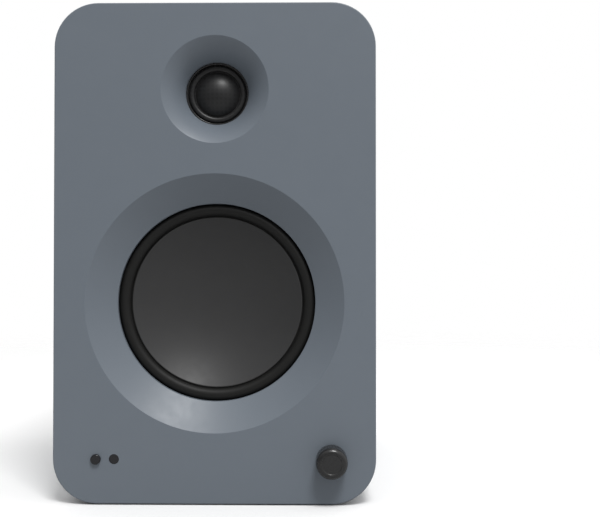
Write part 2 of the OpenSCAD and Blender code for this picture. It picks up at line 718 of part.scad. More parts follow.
module aux_jack() {
    color("black") on_plate(aux_x, jack_row) difference() {
        union() {
            translate([0, 0, -plate_t]) cylinder(r = 3, h = plate_t + 0.4);
            cylinder(r = 4.4, h = 1.4);
            block(9, 8, -jack_deep, -plate_t);
        }
        translate([0, 0, -14]) cylinder(r = aux_bore_r, h = 20);
    }
}
// Optical digital input with a sprung shutter
module optical_socket() {
    color("black") on_plate(optical_x, jack_row) difference() {
        union() {
            block(optical_w, optical_w, -jack_deep, 0);
            slab(optical_w + 3, optical_w + 3, 1, 1.4);
        }
        block(optical_open, optical_open, -10, 3);
        translate([0, -shutter_z, shutter_out]) rotate([0, 90, 0])
            translate([0, 0, -optical_w / 2 + 0.3]) cylinder(r = shutter_pin_r + slip, h = optical_w - 0.6, $fn = 32);
    }
}
module optical_shutter() {
    color("dimgray") on_plate(optical_x, jack_row) translate([0, -shutter_z, shutter_out]) {
        translate([0, 0, -shutter_t / 2]) block(optical_open - 0.6, 0.01 + shutter_pin_r, 0, shutter_t);
        translate([-(optical_open - 0.6) / 2, 0, -shutter_t / 2]) cube([optical_open - 0.6, optical_open - 1.4, shutter_t]);
        rotate([0, 90, 0]) translate([0, 0, -optical_w / 2 + 0.5]) cylinder(r = shutter_pin_r, h = optical_w - 1, $fn = 32);
    }
}
// Screw terminals for the passive speaker of the pair
module post_base() {
    color("black") difference() {
        union() {
            on_plate(0, post_row) slab(44, 22, 3, base_t);
            for (x = post_x) on_plate(x, post_row, -plate_t) cylinder(r = stud_r + 2, h = plate_t);
        }
        for (x = post_x) on_plate(x, post_row, -plate_t - 1) cylinder(r = stud_r, h = plate_t + base_t + 2);
    }
}
module post_studs() {
    color("gold") for (x = post_x) on_plate(x, post_row) difference() {
        translate([0, 0, -12]) cylinder(r = stud_r, h = 12 + cap_to + 0.4);
        translate([0, 0, 2]) cylinder(r = banana_r, h = cap_to);
    }
}
module cap_insert(x) {
    color("gold") on_plate(x, post_row) ring(stud_r + slip, insert_r, cap_from, cap_to - 2);
}
module post_cap(x) {
    on_plate(x, post_row) difference() {
        translate([0, 0, cap_from]) cylinder(r = cap_r, h = cap_to - cap_from);
        translate([0, 0, cap_from - 1]) cylinder(r = insert_r + slip, h = cap_to - 2 + slip - cap_from + 1);
        translate([0, 0, cap_from]) cylinder(r = stud_r + 0.2, h = cap_to);
        around(18, cap_r + 0.35) translate([0, 0, cap_from + 1.5]) cylinder(r = 0.8, h = cap_to, $fn = 16);
    }
}
module cap_insert_red() { cap_insert(post_x[0]); }
module cap_insert_black() { cap_insert(post_x[1]); }
module post_cap_red() { color("red") post_cap(post_x[0]); }
module post_cap_black() { color("black") post_cap(post_x[1]); }
module bass_port() {
    centre_r = port_r + port_flare;
    lip_r = centre_r + port_lip;
    color("black") translate([0, rear_y, port_z]) rotate([-90, 0, 0]) rotate_extrude() polygon(concat(
        [[port_r, -port_len]], arc(centre_r, -port_flare, port_flare, 180, 90, 16),
        [[lip_r, 0], [lip_r, -port_skin]],
        arc(centre_r, -port_flare, port_flare - port_skin, 90, 180, 16), [[port_r + port_skin, -port_len]]));
}
module amp_board() {
    color("darkgreen") on_plate(0, amp_board_z, -jack_deep - board_t) {
        difference() {
            block(sub_board_w, amp_board_h, 0, board_t);
            amp_corners() translate([0, 0, -1]) cylinder(r = 1.6, h = board_t + 2, $fn = 24);
        }
        for (x = [-40, -24, 24, 40]) translate([x, -20, 0]) block(9, 6, -7, 0);
    }
}
module psu_board() {
    color("darkgreen") on_plate(0, psu_board_z, -psu_deep - board_t) {
        difference() {
            block(sub_board_w, psu_board_h, 0, board_t);
            psu_corners() translate([0, 0, -1]) cylinder(r = 1.6, h = board_t + 2, $fn = 24);
        }
        block(38, 32, -28, 0);
        for (x = [-42, -28, 30, 44]) translate([x, 0, -24]) cylinder(r = 6, h = 24, $fn = 48);
    }
}
module board_standoffs() {
    color("gold") {
        on_plate(0, amp_board_z, -jack_deep) amp_corners() difference() {
            cylinder(r = 2.6, h = jack_deep - plate_t);
            translate([0, 0, -1]) cylinder(r = 1.2, h = 6.2, $fn = 24);
        }
        on_plate(0, psu_board_z, -psu_deep) psu_corners() difference() {
            cylinder(r = 2.6, h = psu_deep - plate_t);
            translate([0, 0, -1]) cylinder(r = 1.2, h = 6.2, $fn = 24);
        }
    }
}
module heat_sink() {
    fins = 8;
    color("silver") on_plate(0, amp_board_z, -jack_deep - board_t) {
        translate([0, 4, 0]) block(44, 26, -3, 0);
        for (i = [0:fins - 1]) translate([-20.5 + i * 41 / (fins - 1), 4, 0]) block(1.6, 26, -18, -3);
    }
}

// ---------------------------------------------------------------- leads
// Routes run from a driver or board at the front to the connectors of the amplifier board
socket_y = rear_y - jack_deep - board_t - 7;
socket_z = plate_z + amp_board_z + 20;
module driver_leads() {
    woofer_tag = [0, woofer_y + tag_d - 2.5, woofer_z + magnet_r + 8];
    tweeter_tag = [0, tweeter_y + tweeter_magnet_d + 6, tweeter_z - motor_r - 3];
    color("dimgray") {
        tube([woofer_tag + [-5, 0, 0], woofer_tag + [-6, 0, 4], woofer_tag + [-12, 8, 9],
            [-18, -20, 165], [-22, 10, 168], [-24, 50, socket_z + 6], [-24, socket_y, socket_z]], 1.6);
        tube([tweeter_tag, tweeter_tag + [0, 8, 0], tweeter_tag + [6, 24, -4], [16, -20, 182],
            [22, 10, 172], [24, 50, socket_z + 6], [24, socket_y, socket_z]], 1.3);
    }
}
module control_leads() {
    sensor_x = (lens_x + window_x) / 2;
    color("black") {
        tube([[knob_x, front_y + board_d + board_t, control_z], [knob_x, baffle_y + 6, control_z + 2],
            [56, -56, 44], [50, -34, 62], [46, -14, 76], [44, 30, 100], [41, 60, 112],
            [40, socket_y, socket_z]], 1.3);
        tube([[sensor_x, front_y + sensor_d + board_t, control_z], [sensor_x, baffle_y + 6, control_z + 2],
            [-56, -56, 44], [-50, -34, 62], [-46, -14, 76], [-44, 30, 100], [-41, 60, 112],
            [-40, socket_y, socket_z]], 1.3);
    }
}

front_baffle();
cabinet_shell();
rear_panel();
window_brace();
wadding_pads();
rubber_feet();
woofer_basket();
woofer_gasket();
woofer_surround();
woofer_cone();
woofer_former();
woofer_coil();
woofer_spider();
woofer_top_plate();
woofer_magnet();
woofer_pole_plate();
driver_terminals();
woofer_screws();
tweeter_faceplate();
tweeter_surround();
tweeter_dome();
tweeter_coil();
tweeter_top_plate();
tweeter_magnet();
tweeter_pole_plate();
tweeter_rear_cup();
tweeter_screws();
volume_knob();
encoder_shaft();
encoder_plunger();
encoder_body();
control_board();
receiver_lens();
status_window();
sensor_board();
board_screws();
amp_plate();
amp_plate_screws();
mains_inlet();
inlet_pins();
rocker_housing();
power_rocker();
rca_shells();
rca_cores();
aux_jack();
optical_socket();
optical_shutter();
post_base();
post_studs();
cap_insert_red();
cap_insert_black();
post_cap_red();
post_cap_black();
bass_port();
amp_board();
psu_board();
board_standoffs();
heat_sink();
driver_leads();
control_leads();
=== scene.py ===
"""Powered two-way bookshelf speaker on a pale studio floor."""

import math

import bmesh
import bpy
from mathutils import Euler, Matrix, Vector
from mathutils import noise as grain


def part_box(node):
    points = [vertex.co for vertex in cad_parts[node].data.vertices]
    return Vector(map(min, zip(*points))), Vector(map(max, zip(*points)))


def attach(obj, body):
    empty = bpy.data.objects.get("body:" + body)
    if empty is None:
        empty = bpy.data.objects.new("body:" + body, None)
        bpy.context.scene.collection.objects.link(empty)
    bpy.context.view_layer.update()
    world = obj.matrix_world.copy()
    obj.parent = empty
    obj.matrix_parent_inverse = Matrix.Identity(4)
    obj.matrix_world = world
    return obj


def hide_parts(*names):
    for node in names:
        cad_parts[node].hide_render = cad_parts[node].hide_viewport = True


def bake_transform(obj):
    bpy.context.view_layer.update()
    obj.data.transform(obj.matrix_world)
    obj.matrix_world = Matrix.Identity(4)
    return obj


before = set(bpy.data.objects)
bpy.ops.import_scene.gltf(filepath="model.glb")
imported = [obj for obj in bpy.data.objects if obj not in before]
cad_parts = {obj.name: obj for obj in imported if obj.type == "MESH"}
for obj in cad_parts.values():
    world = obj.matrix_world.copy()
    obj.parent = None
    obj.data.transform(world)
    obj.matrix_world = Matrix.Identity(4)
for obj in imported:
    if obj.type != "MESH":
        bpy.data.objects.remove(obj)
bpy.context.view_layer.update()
scene = bpy.context.scene
MM = 0.001


# ------------------------------------------------------------------ camera
# A short portrait lens half a metre in front of the baffle, a little to the right of
# the middle and just below half height, looking very slightly up and to the left.
baffle_low, baffle_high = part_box("front_baffle")
front = baffle_low.y
base = baffle_low.z
body_w = baffle_high.x - baffle_low.x
body_h = baffle_high.z - baffle_low.z
eye_right, eye_away, eye_drop = 52.5 * MM, 471 * MM, 9.4 * MM
look_up, lean, look_left = 90.74, -0.02, 0.745
camera_data = bpy.data.cameras.new("camera")
camera_data.lens = 52.25
camera_data.sensor_width = 36
camera_data.clip_start = 0.02
camera = bpy.data.objects.new("camera", camera_data)
camera.location = (eye_right, front - eye_away, base + body_h / 2 - eye_drop)
camera.rotation_euler = Euler([math.radians(angle) for angle in (look_up, lean, look_left)])
scene.collection.objects.link(camera)
scene.camera = camera


# ------------------------------------------------------------------ studio
# White paper on the floor that fades into a white surround: even light from above, and
# one soft lamp high on the right that gives the bevel and the waveguide their bright side.
def material(name):
    """A new material with its tree and its main shader."""
    made = bpy.data.materials.new(name)
    made.use_nodes = True
    return made, made.node_tree, made.node_tree.nodes["Principled BSDF"]


def mesh_object(name, points, faces):
    """An object at the origin with its place in its mesh."""
    mesh = bpy.data.meshes.new(name)
    mesh.from_pydata([tuple(p) for p in points], [], faces)
    mesh.update()
    made = bpy.data.objects.new(name, mesh)
    scene.collection.objects.link(made)
    return made


def lamp(name, power, size, azimuth, elevation, distance):
    """A square area light aimed at the middle of the speaker's front."""
    data = bpy.data.lights.new(name, "AREA")
    data.energy = power
    data.size = size
    made = bpy.data.objects.new(name, data)
    target = Vector((0, front, base + body_h / 2))
    a, e = math.radians(azimuth), math.radians(elevation)
    back = Vector((math.sin(a) * math.cos(e), -math.cos(a) * math.cos(e), math.sin(e)))
    made.location = target + back * distance
    made.rotation_euler = (-back).to_track_quat("-Z", "Y").to_euler()
    scene.collection.objects.link(made)


paper, paper_tree, paper_shader = material("studio_paper")
paper_shader.inputs["Base Color"].default_value = (0.93, 0.93, 0.93, 1)
paper_shader.inputs["Roughness"].default_value = 0.9
paper_shader.inputs["Specular IOR Level"].default_value = 0.2
dim_paper = paper_tree.nodes.new("ShaderNodeBsdfDiffuse")
dim_paper.inputs["Color"].default_value = (0.5, 0.5, 0.5, 1)
direct = paper_tree.nodes.new("ShaderNodeLightPath")
bounce = paper_tree.nodes.new("ShaderNodeMixShader")
paper_tree.links.new(direct.outputs["Is Camera Ray"], bounce.inputs["Fac"])
paper_tree.links.new(dim_paper.outputs["BSDF"], bounce.inputs[1])
paper_tree.links.new(paper_shader.outputs["BSDF"], bounce.inputs[2])
from_middle = paper_tree.nodes.new("ShaderNodeTexCoord")
away = paper_tree.nodes.new("ShaderNodeVectorMath")
away.operation = "LENGTH"
fade = paper_tree.nodes.new("ShaderNodeMapRange")
fade.interpolation_type = "SMOOTHSTEP"
fade.inputs["From Min"].default_value = 0.3
fade.inputs["From Max"].default_value = 1.3
nothing = paper_tree.nodes.new("ShaderNodeBsdfTransparent")
edge = paper_tree.nodes.new("ShaderNodeMixShader")
paper_tree.links.new(from_middle.outputs["Object"], away.inputs[0])
paper_tree.links.new(away.outputs["Value"], fade.inputs["Value"])
paper_tree.links.new(fade.outputs["Result"], edge.inputs["Fac"])
paper_tree.links.new(bounce.outputs["Shader"], edge.inputs[1])
paper_tree.links.new(nothing.outputs["BSDF"], edge.inputs[2])
paper_tree.links.new(edge.outputs["Shader"], paper_tree.nodes["Material Output"].inputs["Surface"])
paper_half = 1.5
paper_corners = [(x * paper_half, y * paper_half, 0) for x, y in ((-1, -1), (1, -1), (1, 1), (-1, 1))]
floor = mesh_object("studio_floor", paper_corners, [(0, 1, 2, 3)])
floor.data.materials.append(paper)

world = bpy.data.worlds.new("studio_tent")
world.use_nodes = True
tent = world.node_tree
way = tent.nodes.new("ShaderNodeTexCoord")
high_side = tent.nodes.new("ShaderNodeVectorMath")
high_side.operation = "DOT_PRODUCT"
high_side.inputs[1].default_value = Vector((0.35, 0.35, 0.85)).normalized()
glow = tent.nodes.new("ShaderNodeMapRange")
glow.interpolation_type = "SMOOTHSTEP"
glow.inputs["From Min"].default_value = -0.5
glow.inputs["From Max"].default_value = 0.9
glow.inputs["To Min"].default_value = 0.2
glow.inputs["To Max"].default_value = 0.98
tent.links.new(way.outputs["Generated"], high_side.inputs[0])
tent.links.new(high_side.outputs["Value"], glow.inputs["Value"])
tent.links.new(glow.outputs["Result"], tent.nodes["Background"].inputs["Strength"])
backdrop = tent.nodes.new("ShaderNodeBackground")
seen = tent.nodes.new("ShaderNodeLightPath")
choice = tent.nodes.new("ShaderNodeMixShader")
tent.links.new(seen.outputs["Is Camera Ray"], choice.inputs["Fac"])
tent.links.new(tent.nodes["Background"].outputs["Background"], choice.inputs[1])
tent.links.new(backdrop.outputs["Background"], choice.inputs[2])
tent.links.new(choice.outputs["Shader"], tent.nodes["World Output"].inputs["Surface"])
for light in (tent.nodes["Background"], backdrop):
    light.inputs["Color"].default_value = (1, 1, 1, 1)
scene.world = world
lamp("key", power=33, size=0.65, azimuth=20, elevation=56, distance=2.2)
scene.view_settings.view_transform = "Standard"


# ------------------------------------------------------------------ cabinet paint
# Fibreboard sprayed blue-grey: an even satin coat with a faint orange peel and a
# slightly drier sheen in places.
finishes = {}


def noise(tree, scale, detail=2.0, squeeze=(1, 1, 1)):
    """A noise on object coordinates; scale is in cells for each metre, squeeze stretches it."""
    place = tree.nodes.new("ShaderNodeTexCoord")
    turn = tree.nodes.new("ShaderNodeMapping")
    turn.inputs["Scale"].default_value = squeeze
    made = tree.nodes.new("ShaderNodeTexNoise")
    made.inputs["Scale"].default_value = scale
    made.inputs["Detail"].default_value = detail
    tree.links.new(place.outputs["Object"], turn.inputs["Vector"])
    tree.links.new(turn.outputs["Vector"], made.inputs["Vector"])
    return made.outputs["Fac"]


def ranged(tree, value, low, high, start=0.3, end=0.7):
    """Maps the span from start to end, at first the useful middle of a noise, onto low to high."""
    made = tree.nodes.new("ShaderNodeMapRange")
    for socket, number in (("From Min", start), ("From Max", end), ("To Min", low), ("To Max", high)):
        made.inputs[socket].default_value = number
    tree.links.new(value, made.inputs["Value"])
    return made.outputs["Result"]


def tinted(tree, shader, value, dark, light):
    """Runs the base colour from dark to light with a value."""
    made = tree.nodes.new("ShaderNodeMix")
    made.data_type = "RGBA"
    made.inputs[6].default_value = (*dark, 1)
    made.inputs[7].default_value = (*light, 1)
    tree.links.new(value, made.inputs[0])
    tree.links.new(made.outputs[2], shader.inputs["Base Color"])


def bumped(tree, shader, value, strength, depth):
    """Raises the surface by depth metres where the value is 1."""
    made = tree.nodes.new("ShaderNodeBump")
    made.inputs["Strength"].default_value = strength
    made.inputs["Distance"].default_value = depth
    tree.links.new(value, made.inputs["Height"])
    tree.links.new(made.outputs["Normal"], shader.inputs["Normal"])


def moulded(slot, dark, light, rough, grain_scale, grain_depth, metallic=0.0, squeeze=(1, 1, 1), gloss=0.5):
    """A finish with a soft tone change, an uneven sheen and a fine surface grain.

    dark and light are the colour's two ends, rough the roughness's; grain_scale is in cells
    to the metre and grain_depth in metres.
    """
    made, tree, shader = material(slot)
    tinted(tree, shader, noise(tree, grain_scale / 12, 3, squeeze), dark, light)
    sheen = ranged(tree, noise(tree, grain_scale / 5, 3, squeeze), rough[0], rough[1])
    tree.links.new(sheen, shader.inputs["Roughness"])
    bumped(tree, shader, noise(tree, grain_scale, 2, squeeze), 0.3, grain_depth)
    shader.inputs["Metallic"].default_value = metallic
    shader.inputs["Specular IOR Level"].default_value = gloss
    finishes[slot] = made
    return tree, shader


moulded("cabinet_paint", (0.147, 0.171, 0.200), (0.153, 0.177, 0.206), (0.38, 0.43), 900, 0.00002, gloss=0.4)


# ------------------------------------------------------------------ cabinet
# Three fibreboard pieces glued flush and painted as one: a baffle with its bevel and
# waveguide turned into it, a rounded shell, and a rear panel with the amplifier's opening.
def box_of(node):
    """A node's lowest and highest corners and its middle."""
    low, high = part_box(node)
    return low, high, (low + high) / 2


def in_mm(corners):
    """Radii, depths and easings of a profile, from millimetres to metres."""
    return [tuple(v * MM for v in corner) for corner in corners]


def outline(w, h, r, steps=16):
    """Points of a round-cornered rectangle round the origin, anticlockwise from the front."""
    points = []
    for turn, (sx, sz) in enumerate(((1, 1), (-1, 1), (-1, -1), (1, -1))):
        for i in range(steps + 1):
            a = math.radians(90 * turn + 90 * i / steps)
            points.append((sx * (w / 2 - r) + r * math.cos(a), sz * (h / 2 - r) + r * math.sin(a)))
    return points


def outward(piece):
    """Merges doubles and turns every face outwards."""
    work = bmesh.new()
    work.from_mesh(piece.data)
    bmesh.ops.remove_doubles(work, verts=work.verts, dist=1e-7)
    bmesh.ops.recalc_face_normals(work, faces=work.faces)
    work.to_mesh(piece.data)
    work.free()
    return piece


def lofted(name, loops, closed=False):
    """Skins loops of equal length; the ends are capped unless the skin closes on itself."""
    n = len(loops[0])
    faces = []
    for i in range(len(loops) if closed else len(loops) - 1):
        a, b = i * n, ((i + 1) % len(loops)) * n
        faces += [(a + k, a + (k + 1) % n, b + (k + 1) % n, b + k) for k in range(n)]
    if not closed:
        faces.append(tuple(reversed(range(n))))
        faces.append(tuple((len(loops) - 1) * n + k for k in range(n)))
    return outward(mesh_object(name, [p for loop in loops for p in loop], faces))


def slab(name, centre, w, h, r, y0, y1, ease_front=0.0, ease_back=0.0):
    """A round-cornered slab between two depths, with its front and back edges eased."""
    def edge(ease):
        angles = [math.radians(90 * i / 5) for i in range(6)] if ease else [0.0]
        return [(ease * (1 - math.sin(a)), ease * (1 - math.cos(a))) for a in angles]

    levels = [(y0 + d, inset) for d, inset in reversed(edge(ease_front))]
    levels += [(y1 - d, inset) for d, inset in edge(ease_back)]
    loops = []
    for y, inset in levels:
        loop = outline(w - 2 * inset, h - 2 * inset, r - inset)
        loops.append([(centre.x + x, y, centre.z + z) for x, z in loop])
    return lofted(name, loops)


def turned(name, profile, centre, steps=192, along="Y"):
    """Turns a closed profile of (radius, depth) round the Y or Z axis through a centre."""
    depth_way = Vector((0, 1, 0)) if along == "Y" else Vector((0, 0, 1))
    side_way = Vector((0, 0, 1)) if along == "Y" else Vector((0, 1, 0))
    points, faces, starts = [], [], []
    for radius, depth in profile:
        starts.append(len(points))
        middle = centre + depth_way * depth
        if radius < 1e-7:
            points.append(middle)
            continue
        for k in range(steps):
            a = 2 * math.pi * k / steps
            points.append(middle + Vector((radius * math.cos(a), 0, 0)) + side_way * (radius * math.sin(a)))
    for i in range(len(profile)):
        j = (i + 1) % len(profile)
        a, b = starts[i], starts[j]
        a_pole, b_pole = profile[i][0] < 1e-7, profile[j][0] < 1e-7
        for k in range(steps if not (a_pole and b_pole) else 0):
            m = (k + 1) % steps
            if a_pole:
                faces.append((a, b + k, b + m))
            elif b_pole:
                faces.append((a + m, a + k, b))
            else:
                faces.append((a + k, b + k, b + m, a + m))
    return outward(mesh_object(name, points, faces))


def arc(cx, cy, r, a0, a1, steps):
    """Points of an arc in a profile, from angle a0 to a1 in degrees."""
    angles = [math.radians(a0 + (a1 - a0) * i / steps) for i in range(steps + 1)]
    return [(cx + r * math.cos(a), cy + r * math.sin(a)) for a in angles]


def eased(corners, steps=6):
    """Rounds the corners of a profile. A corner is (radius, depth) or (radius, depth, easing)."""
    points = []
    for i, corner in enumerate(corners):
        here = Vector(corner[:2])
        if len(corner) < 3:
            points.append(corner)
            continue
        to_last = (Vector(corners[i - 1][:2]) - here).normalized()
        to_next = (Vector(corners[(i + 1) % len(corners)][:2]) - here).normalized()
        half = to_last.angle(to_next) / 2
        middle = here + (to_last + to_next).normalized() * (corner[2] / math.sin(half))
        start = here + to_last * (corner[2] / math.tan(half)) - middle
        end = here + to_next * (corner[2] / math.tan(half)) - middle
        swing = -start.angle_signed(end)
        for k in range(steps + 1):
            points.append(tuple(middle + Matrix.Rotation(swing * k / steps, 2) @ start))
    return points


def bake(piece):
    """Turns a piece's modifiers into its mesh."""
    graph = bpy.context.evaluated_depsgraph_get()
    graph.update()
    made = bpy.data.meshes.new_from_object(piece.evaluated_get(graph))
    piece.modifiers.clear()
    piece.data = made
    return piece


def worked(piece, tools, operation="DIFFERENCE"):
    """Cuts closed tools out of a piece, or welds them on, and removes the tools."""
    for tool in tools:
        cut = piece.modifiers.new("cut", "BOOLEAN")
        cut.operation = operation
        cut.solver = "EXACT"
        cut.object = tool
        bake(piece)
        bpy.data.objects.remove(tool)
    return piece


def gathered(name, parts):
    """Puts several meshes into one piece."""
    work = bmesh.new()
    for part in parts:
        work.from_mesh(part.data)
        bpy.data.objects.remove(part)
    made = mesh_object(name, [], [])
    work.to_mesh(made.data)
    work.free()
    return made


def dressed(piece, slot, replaces=(), body="cabinet", sharp=35):
    """Gives a finished mesh its finish, its shading and its place in the frame."""
    piece.data.materials.clear()
    piece.data.materials.append(finishes[slot])
    piece.data.polygons.foreach_set("material_index", [0] * len(piece.data.polygons))
    piece.data.shade_smooth()
    piece.data.set_sharp_from_angle(angle=math.radians(sharp))
    weigh = piece.modifiers.new("weigh", "WEIGHTED_NORMAL")
    weigh.keep_sharp = True
    if replaces:
        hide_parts(*replaces)
    if body:
        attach(piece, body)
    return piece


def drill(x, z, radius, y0, y1):
    """A closed cutter for a round hole along Y."""
    return turned("cutter", [(0, y0), (radius, y0), (radius, y1), (0, y1)], Vector((x, 0, z)), 64)


corner = 24 * MM
wall = 12 * MM
edge_ease = 0.7 * MM
over = 2 * MM
shell_low, shell_high, shell_mid = box_of("cabinet_shell")
panel_low, panel_high, panel_mid = box_of("rear_panel")
cone_mid = box_of("woofer_cone")[2]
dome_mid = box_of("tweeter_dome")[2]
knob_low, knob_high, knob_mid = box_of("volume_knob")
lens_low, lens_high, lens_mid = box_of("receiver_lens")
window_mid = box_of("status_window")[2]
rear = panel_high.y

past_front, past_back = -5, 22
bevel_mouth_r, bevel_r, bevel_depth = 70.4, 54.7, 11
basket_r, basket_depth = 66.3, 13.5
bevel_bore = eased(in_mm([
    (0, past_front), (75, past_front), (75, 0), (bevel_mouth_r, 0, 0.35), (bevel_r, bevel_depth, 0.5),
    (bevel_r, basket_depth, 0.3), (basket_r, basket_depth), (basket_r, past_back), (0, past_back),
]))

# The waveguide leaves the face at a shallow slope and steepens to the throat, as one curve.
mouth, throat = Vector((29.4, 0)), Vector((17.5, 12.6))
tweeter_r, tweeter_depth = 30.8, 14
slope = math.radians(33)
bend = math.atan2(throat.y - mouth.y, mouth.x - throat.x) - slope
arm = (throat - mouth).length / (2 * math.cos(bend))
control = mouth + Vector((-math.cos(slope), math.sin(slope))) * arm
guide_bore = [(0, past_front), (31, past_front), (31, 0)]
for i in range(33):
    t = i / 32
    on_curve = mouth * (1 - t) ** 2 + control * (2 * t * (1 - t)) + throat * t**2
    guide_bore.append((on_curve.x, on_curve.y, 0.3) if i == 0 else tuple(on_curve))
guide_bore += [(throat.x, tweeter_depth), (tweeter_r, tweeter_depth), (tweeter_r, past_back), (0, past_back)]
pocket = front + 8 * MM
shaft_hole_r, lens_hole_r = 3.7 * MM, 2.75 * MM
sensor_mid = (lens_mid + window_mid) / 2

baffle = slab("painted_baffle", (baffle_low + baffle_high) / 2, body_w, body_h, corner,
              front, baffle_high.y, ease_front=edge_ease)
worked(baffle, [
    turned("cutter", bevel_bore, Vector((cone_mid.x, front, cone_mid.z)), 256),
    turned("cutter", eased(in_mm(guide_bore), 4), Vector((dome_mid.x, front, dome_mid.z))),
    drill(knob_mid.x, knob_mid.z, shaft_hole_r, front - over, pocket + over),
    drill(lens_mid.x, lens_mid.z, lens_hole_r, front - over, pocket + over),
    drill(window_mid.x, window_mid.z, lens_hole_r, front - over, pocket + over),
    slab("cutter", knob_mid, 24 * MM, 24 * MM, MM, pocket, baffle_high.y + over),
    slab("cutter", sensor_mid, 28 * MM, 16 * MM, MM, pocket, baffle_high.y + over),
])
dressed(baffle, "cabinet_paint", ["front_baffle"])

foot_low, foot_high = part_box("rubber_feet")
foot_r = 9 * MM
foot_spots = [
    Vector((x, y, foot_low.z))
    for x in (foot_low.x + foot_r, foot_high.x - foot_r)
    for y in (foot_low.y + foot_r, foot_high.y - foot_r)
]
shell_loops = []
for inset, y in ((0, shell_low.y), (0, shell_high.y), (wall, shell_high.y), (wall, shell_low.y)):
    loop = outline(body_w - 2 * inset, body_h - 2 * inset, corner - inset)
    shell_loops.append([(shell_mid.x + x, y, base + body_h / 2 + z) for x, z in loop])
shell = lofted("painted_shell", shell_loops, closed=True)
foot_pocket_r, foot_t = foot_r + 0.3 * MM, foot_high.z - foot_low.z
foot_pocket = [(0, -over), (foot_pocket_r, -over), (foot_pocket_r, foot_t), (0, foot_t)]
worked(shell, [turned("cutter", foot_pocket, spot, 64, "Z") for spot in foot_spots])
dressed(shell, "cabinet_paint", ["cabinet_shell"])

plate_low, plate_high, plate_mid = box_of("amp_plate")
port_mid = box_of("bass_port")[2]
plate_w, plate_h = plate_high.x - plate_low.x, plate_high.z - plate_low.z
play = 0.3 * MM
plate_r, ledge = 6 * MM, 8 * MM
port_hole_r, port_rim_r, port_rim_t = 31 * MM, 36.3 * MM, 2.2 * MM
rear_panel = slab("painted_rear_panel", panel_mid, body_w, body_h, corner, panel_low.y, rear,
                  ease_back=edge_ease)
worked(rear_panel, [
    slab("cutter", plate_mid, plate_w + play, plate_h + play, plate_r, plate_low.y, rear + over),
    slab("cutter", plate_mid, plate_w - 2 * ledge, plate_h - 2 * ledge, 4 * MM,
         panel_low.y - over, rear + over),
    drill(port_mid.x, port_mid.z, port_hole_r, panel_low.y - over, rear + over),
    drill(port_mid.x, port_mid.z, port_rim_r, rear - port_rim_t, rear + over),
])
dressed(rear_panel, "cabinet_paint", ["rear_panel"])

moulded("bare_fibreboard", (0.30, 0.20, 0.115), (0.50, 0.36, 0.23), (0.75, 0.9), 1500, 0.0001)


# ------------------------------------------------------------------ wadding
# Two pads of white polyester wadding glued to the side walls: a loft of curled fibres,
# thick in the middle and thin at its torn edges.
tree, shader = moulded("wadding", (0.62, 0.62, 0.60), (0.86, 0.86, 0.84), (0.9, 1.0), 700, 0.0006)
shader.inputs["Sheen Weight"].default_value = 0.4
pad_low, pad_high, pad_mid = box_of("wadding_pads")
pad_t = 10 * MM
thin_rim, lump, ragged = 0.45, 0.18, 0.02
pads = []
for side in (-1, 1):
    work = bmesh.new()
    bmesh.ops.create_cube(work, size=1)
    bmesh.ops.subdivide_edges(work, edges=work.edges, cuts=23, use_grid_fill=True)
    pad_w, pad_h = pad_high.y - pad_low.y, pad_high.z - pad_low.z
    outer = pad_low.x if side < 0 else pad_high.x
    for vertex in work.verts:
        u = vertex.co * 2
        rim = max(abs(u.y), abs(u.z)) ** 6
        loft = 1 - thin_rim * rim - lump * (0.5 + grain.noise(Vector((side * 9, u.y * 5, u.z * 9))))
        deep = (u.x * -side + 1) / 2 * loft * pad_t
        shrink = 0.985 - ragged * abs(grain.noise(Vector((u.y * 7, u.z * 7, side))))
        vertex.co = Vector((outer - side * deep,
                            pad_mid.y + u.y * pad_w / 2 * shrink, pad_mid.z + u.z * pad_h / 2 * shrink))
    pad = mesh_object("pad", [], [])
    work.to_mesh(pad.data)
    work.free()
    pads.append(pad)
wadding = dressed(outward(gathered("acoustic_wadding", pads)), "wadding", ["wadding_pads"], sharp=80)


# ------------------------------------------------------------------ feet
# Four moulded rubber discs pressed into pockets in the underside. Each has a round
# edge and a shallow dished sole that grips the shelf.
moulded("foot_rubber", (0.012, 0.012, 0.012), (0.02, 0.02, 0.02), (0.6, 0.75), 2500, 0.00003)
foot_profile = [
    (0, 0.2 * MM), (5.5 * MM, 0.2 * MM, 0.2 * MM), (6.3 * MM, 0, 0.2 * MM), (foot_r, 0, 0.5 * MM),
    (foot_r, foot_t), (0, foot_t),
]
feet = gathered("round_feet", [turned("foot", eased(foot_profile), spot, 72, "Z") for spot in foot_spots])
dressed(feet, "foot_rubber", ["rubber_feet"])


# ------------------------------------------------------------------ woofer
# A one-piece dished cone of mica-filled polymer, hung on a half-round rubber surround at
# its edge and on a corrugated cloth spider at its neck, over a ferrite motor.
moulded("cone_composite", (0.037, 0.037, 0.0375), (0.041, 0.041, 0.0415), (0.42, 0.47),
        1200, 0.00001, gloss=0.28)
moulded("surround_rubber", (0.008, 0.008, 0.0075), (0.010, 0.010, 0.0095), (0.50, 0.56),
        2200, 0.00001, gloss=0.25)
moulded("black_steel", (0.016, 0.016, 0.016), (0.024, 0.024, 0.024), (0.45, 0.6), 1800, 0.00004)
moulded("former_film", (0.42, 0.24, 0.06), (0.55, 0.33, 0.10), (0.25, 0.35), 1500, 0.00001)
moulded("plated_steel", (0.52, 0.52, 0.50), (0.64, 0.64, 0.62), (0.25, 0.4), 900, 0.00002, 1.0, (1, 6, 1))
moulded("ferrite", (0.035, 0.035, 0.038), (0.07, 0.07, 0.075), (0.6, 0.8), 1400, 0.00008)
moulded("terminal_board", (0.30, 0.18, 0.08), (0.42, 0.27, 0.14), (0.5, 0.65), 1600, 0.00003, 0, (6, 1, 1))
